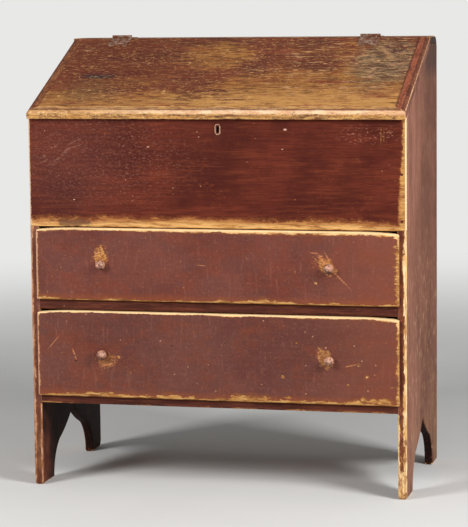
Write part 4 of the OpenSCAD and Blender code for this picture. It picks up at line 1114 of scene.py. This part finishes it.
def knob(name, body, x, z, seed):
    """One knob, with its foot on the drawer front."""
    around = 40
    mesh = bmesh.new()
    rings = []
    for reach, radius in knob_profile():
        if radius < 1e-4:
            rings.append([mesh.verts.new((x, DRAWER_FRONT_Y - reach, z))])
            continue
        ring = []
        for i in range(around):
            angle = 2 * math.pi * i / around
            offset = Vector((radius * math.cos(angle), -reach, radius * math.sin(angle)))
            dent = 0.0007 * smooth_step(noise.noise(offset * 190 + Vector((seed, 0, 0))), -0.1, 0.5)
            shrink = 1 - dent / KNOB_R
            ring.append(mesh.verts.new((x + offset.x * shrink, DRAWER_FRONT_Y + offset.y * shrink,
                                        z + offset.z * shrink)))
        rings.append(ring)
    for first, second in zip(rings, rings[1:]):
        for i in range(around):
            j = (i + 1) % around
            if len(second) == 1:
                mesh.faces.new((first[i], first[j], second[0]))
            else:
                mesh.faces.new((first[i], first[j], second[j], second[i]))
    mesh.faces.new(rings[0][::-1])
    bmesh.ops.recalc_face_normals(mesh, faces=mesh.faces)
    piece = make_piece(f"{name}_turned", mesh, PAINTS["knob"], 50)
    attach(piece, body)
    return piece


for level, z in (("upper", UPPER_KNOB_Z), ("lower", LOWER_KNOB_Z)):
    for hand, sign in (("left", -1), ("right", 1)):
        piece = knob(f"{level}_knob_{hand}", f"{level}_drawer", sign * KNOB_X, z, sign * 2.0 + z * 9)
        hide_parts(f"{level}_knob_{hand}")


# Materials of the CAD nodes that stay

LEAVES = [f"hinge_{hand}_{part}_leaf" for part in ("top", "lid") for hand in ("left", "right")]
KEPT = {
    "bare_deep": ["runner_left", "runner_right", "upper_drawer_side_left", "upper_drawer_side_right",
                  "lower_drawer_side_left", "lower_drawer_side_right"],
    "hinge": LEAVES + ["hinge_pin_left", "hinge_pin_right", "top_hinge_screws", "lid_hinge_screws"],
    "nail": ["front_panel_nails", "top_board_nails"],
    "pale_nail": ["lid_moulding_nails"],
    "brass": ["lock_bolt"],
    "escutcheon": ["escutcheon"],
    "iron": ["lock_cap", "lock_plate", "lock_screws", "lock_strike", "strike_screws", "back_board_nails",
             "runner_nails", "upper_drawer_nails", "lower_drawer_nails"],
}
paint_of = {node: paint for paint, nodes in KEPT.items() for node in nodes}
for node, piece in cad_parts.items():
    piece.data.materials.clear()
    piece.data.materials.append(PAINTS[paint_of.get(node, "bare")])
for node in LEAVES:
    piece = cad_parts[node]
    weld = piece.modifiers.new("weld", "WELD")
    weld.merge_threshold = 1e-5
    bevel = piece.modifiers.new("bevel", "BEVEL")
    bevel.width = 0.0004
    bevel.segments = 2
    bevel.limit_method = "ANGLE"
    bevel.angle_limit = math.radians(40)


# Floor, light and camera

BACKDROP = rgb(232, 232, 230)


def floor_material():
    """Pale floor that fades into the background far from the desk, for the camera alone."""
    material = bpy.data.materials.new("floor_pale")
    material.use_nodes = True
    tree = material.node_tree
    tree.nodes.clear()
    place = add_node(tree, "TexCoord", {}).outputs["Object"]
    distance = add_node(tree, "VectorMath", {0: place}, operation="LENGTH").outputs["Value"]
    fade = add_node(tree, "MapRange", {"Value": distance, "From Min": 1.2, "From Max": 5.0},
                    interpolation_type="SMOOTHSTEP").outputs["Result"]
    seen = add_node(tree, "LightPath", {}).outputs["Is Camera Ray"]
    share = add_node(tree, "Math", {0: fade, 1: seen}, operation="MULTIPLY").outputs[0]
    grain = add_node(tree, "TexNoise", {"Scale": 3.0, "Vector": place}).outputs["Fac"]
    tint = add_node(tree, "Mix", {0: grain, 6: rgb(222, 222, 220), 7: rgb(230, 230, 228)},
                    data_type="RGBA").outputs[2]
    matte = add_node(tree, "BsdfDiffuse", {"Color": tint}).outputs[0]
    glow = add_node(tree, "Emission", {"Color": BACKDROP}).outputs[0]
    blend = add_node(tree, "MixShader", {0: share, 1: matte, 2: glow}).outputs[0]
    add_node(tree, "OutputMaterial", {"Surface": blend})
    return material


def make_floor():
    """Round floor, wide enough to reach past the fade of its material."""
    mesh = bmesh.new()
    bmesh.ops.create_circle(mesh, cap_ends=True, segments=96, radius=40)
    piece = make_piece("floor", mesh, floor_material())


def make_world(ambient):
    """White light from all round, with the pale backdrop where the camera or a mirror sees the sky."""
    world = bpy.data.worlds.new("studio")
    world.use_nodes = True
    tree = world.node_tree
    tree.nodes.clear()
    path = add_node(tree, "LightPath", {}).outputs
    seen = path["Is Camera Ray"]
    for ray in ("Is Glossy Ray", "Is Transmission Ray"):
        seen = add_node(tree, "Math", {0: seen, 1: path[ray]}, operation="MAXIMUM").outputs[0]
    fill = add_node(tree, "Background", {"Color": (1, 1, 1, 1), "Strength": ambient}).outputs[0]
    shown = add_node(tree, "Background", {"Color": BACKDROP, "Strength": 1.0}).outputs[0]
    blend = add_node(tree, "MixShader", {0: seen, 1: fill, 2: shown}).outputs[0]
    add_node(tree, "OutputWorld", {"Surface": blend})
    bpy.context.scene.world = world


def soft_lamp(name, place, target, power):
    """Square lamp of 1.1 m at a place, turned to its target."""
    lamp = bpy.data.lights.new(name, "AREA")
    lamp.shape = "SQUARE"
    lamp.size = 1.1
    lamp.energy = power
    piece = bpy.data.objects.new(name, lamp)
    piece.location = place
    piece.rotation_euler = (Vector(target) - Vector(place)).to_track_quat("-Z", "Y").to_euler()
    bpy.context.collection.objects.link(piece)


def make_camera():
    """Camera fitted to the photograph: the long side of its frame is the height."""
    image_height = 527
    focal_pixels = 2229.4
    place = (1.2762, -5.2948, 1.1661)
    yaw, pitch, roll = 0.2378, 0.1041, -0.0101
    shift_pixels = -30
    ahead = Vector((-math.sin(yaw) * math.cos(pitch), math.cos(yaw) * math.cos(pitch), -math.sin(pitch)))
    level = Vector((math.cos(yaw), math.sin(yaw), 0))
    upright = level.cross(ahead)
    across = level * math.cos(roll) + upright * math.sin(roll)
    up = upright * math.cos(roll) - level * math.sin(roll)
    turn = Matrix((across, up, -ahead)).transposed().to_4x4()
    data = bpy.data.cameras.new("photo_camera")
    data.sensor_fit = "AUTO"
    data.sensor_width = 36
    data.lens = focal_pixels * data.sensor_width / image_height
    data.shift_y = shift_pixels / image_height
    data.clip_end = 200
    piece = bpy.data.objects.new("photo_camera", data)
    piece.matrix_world = Matrix.Translation(place) @ turn
    bpy.context.collection.objects.link(piece)
    bpy.context.scene.camera = piece


make_floor()
make_world(ambient=0.24)
middle = (0, 0, 0.55)
soft_lamp("left_lamp", (-2.3, -2.9, 2.2), middle, power=98)
soft_lamp("right_lamp", (2.9, -1.7, 2.1), middle, power=108)
make_camera()
bpy.context.scene.view_settings.view_transform = "Standard"
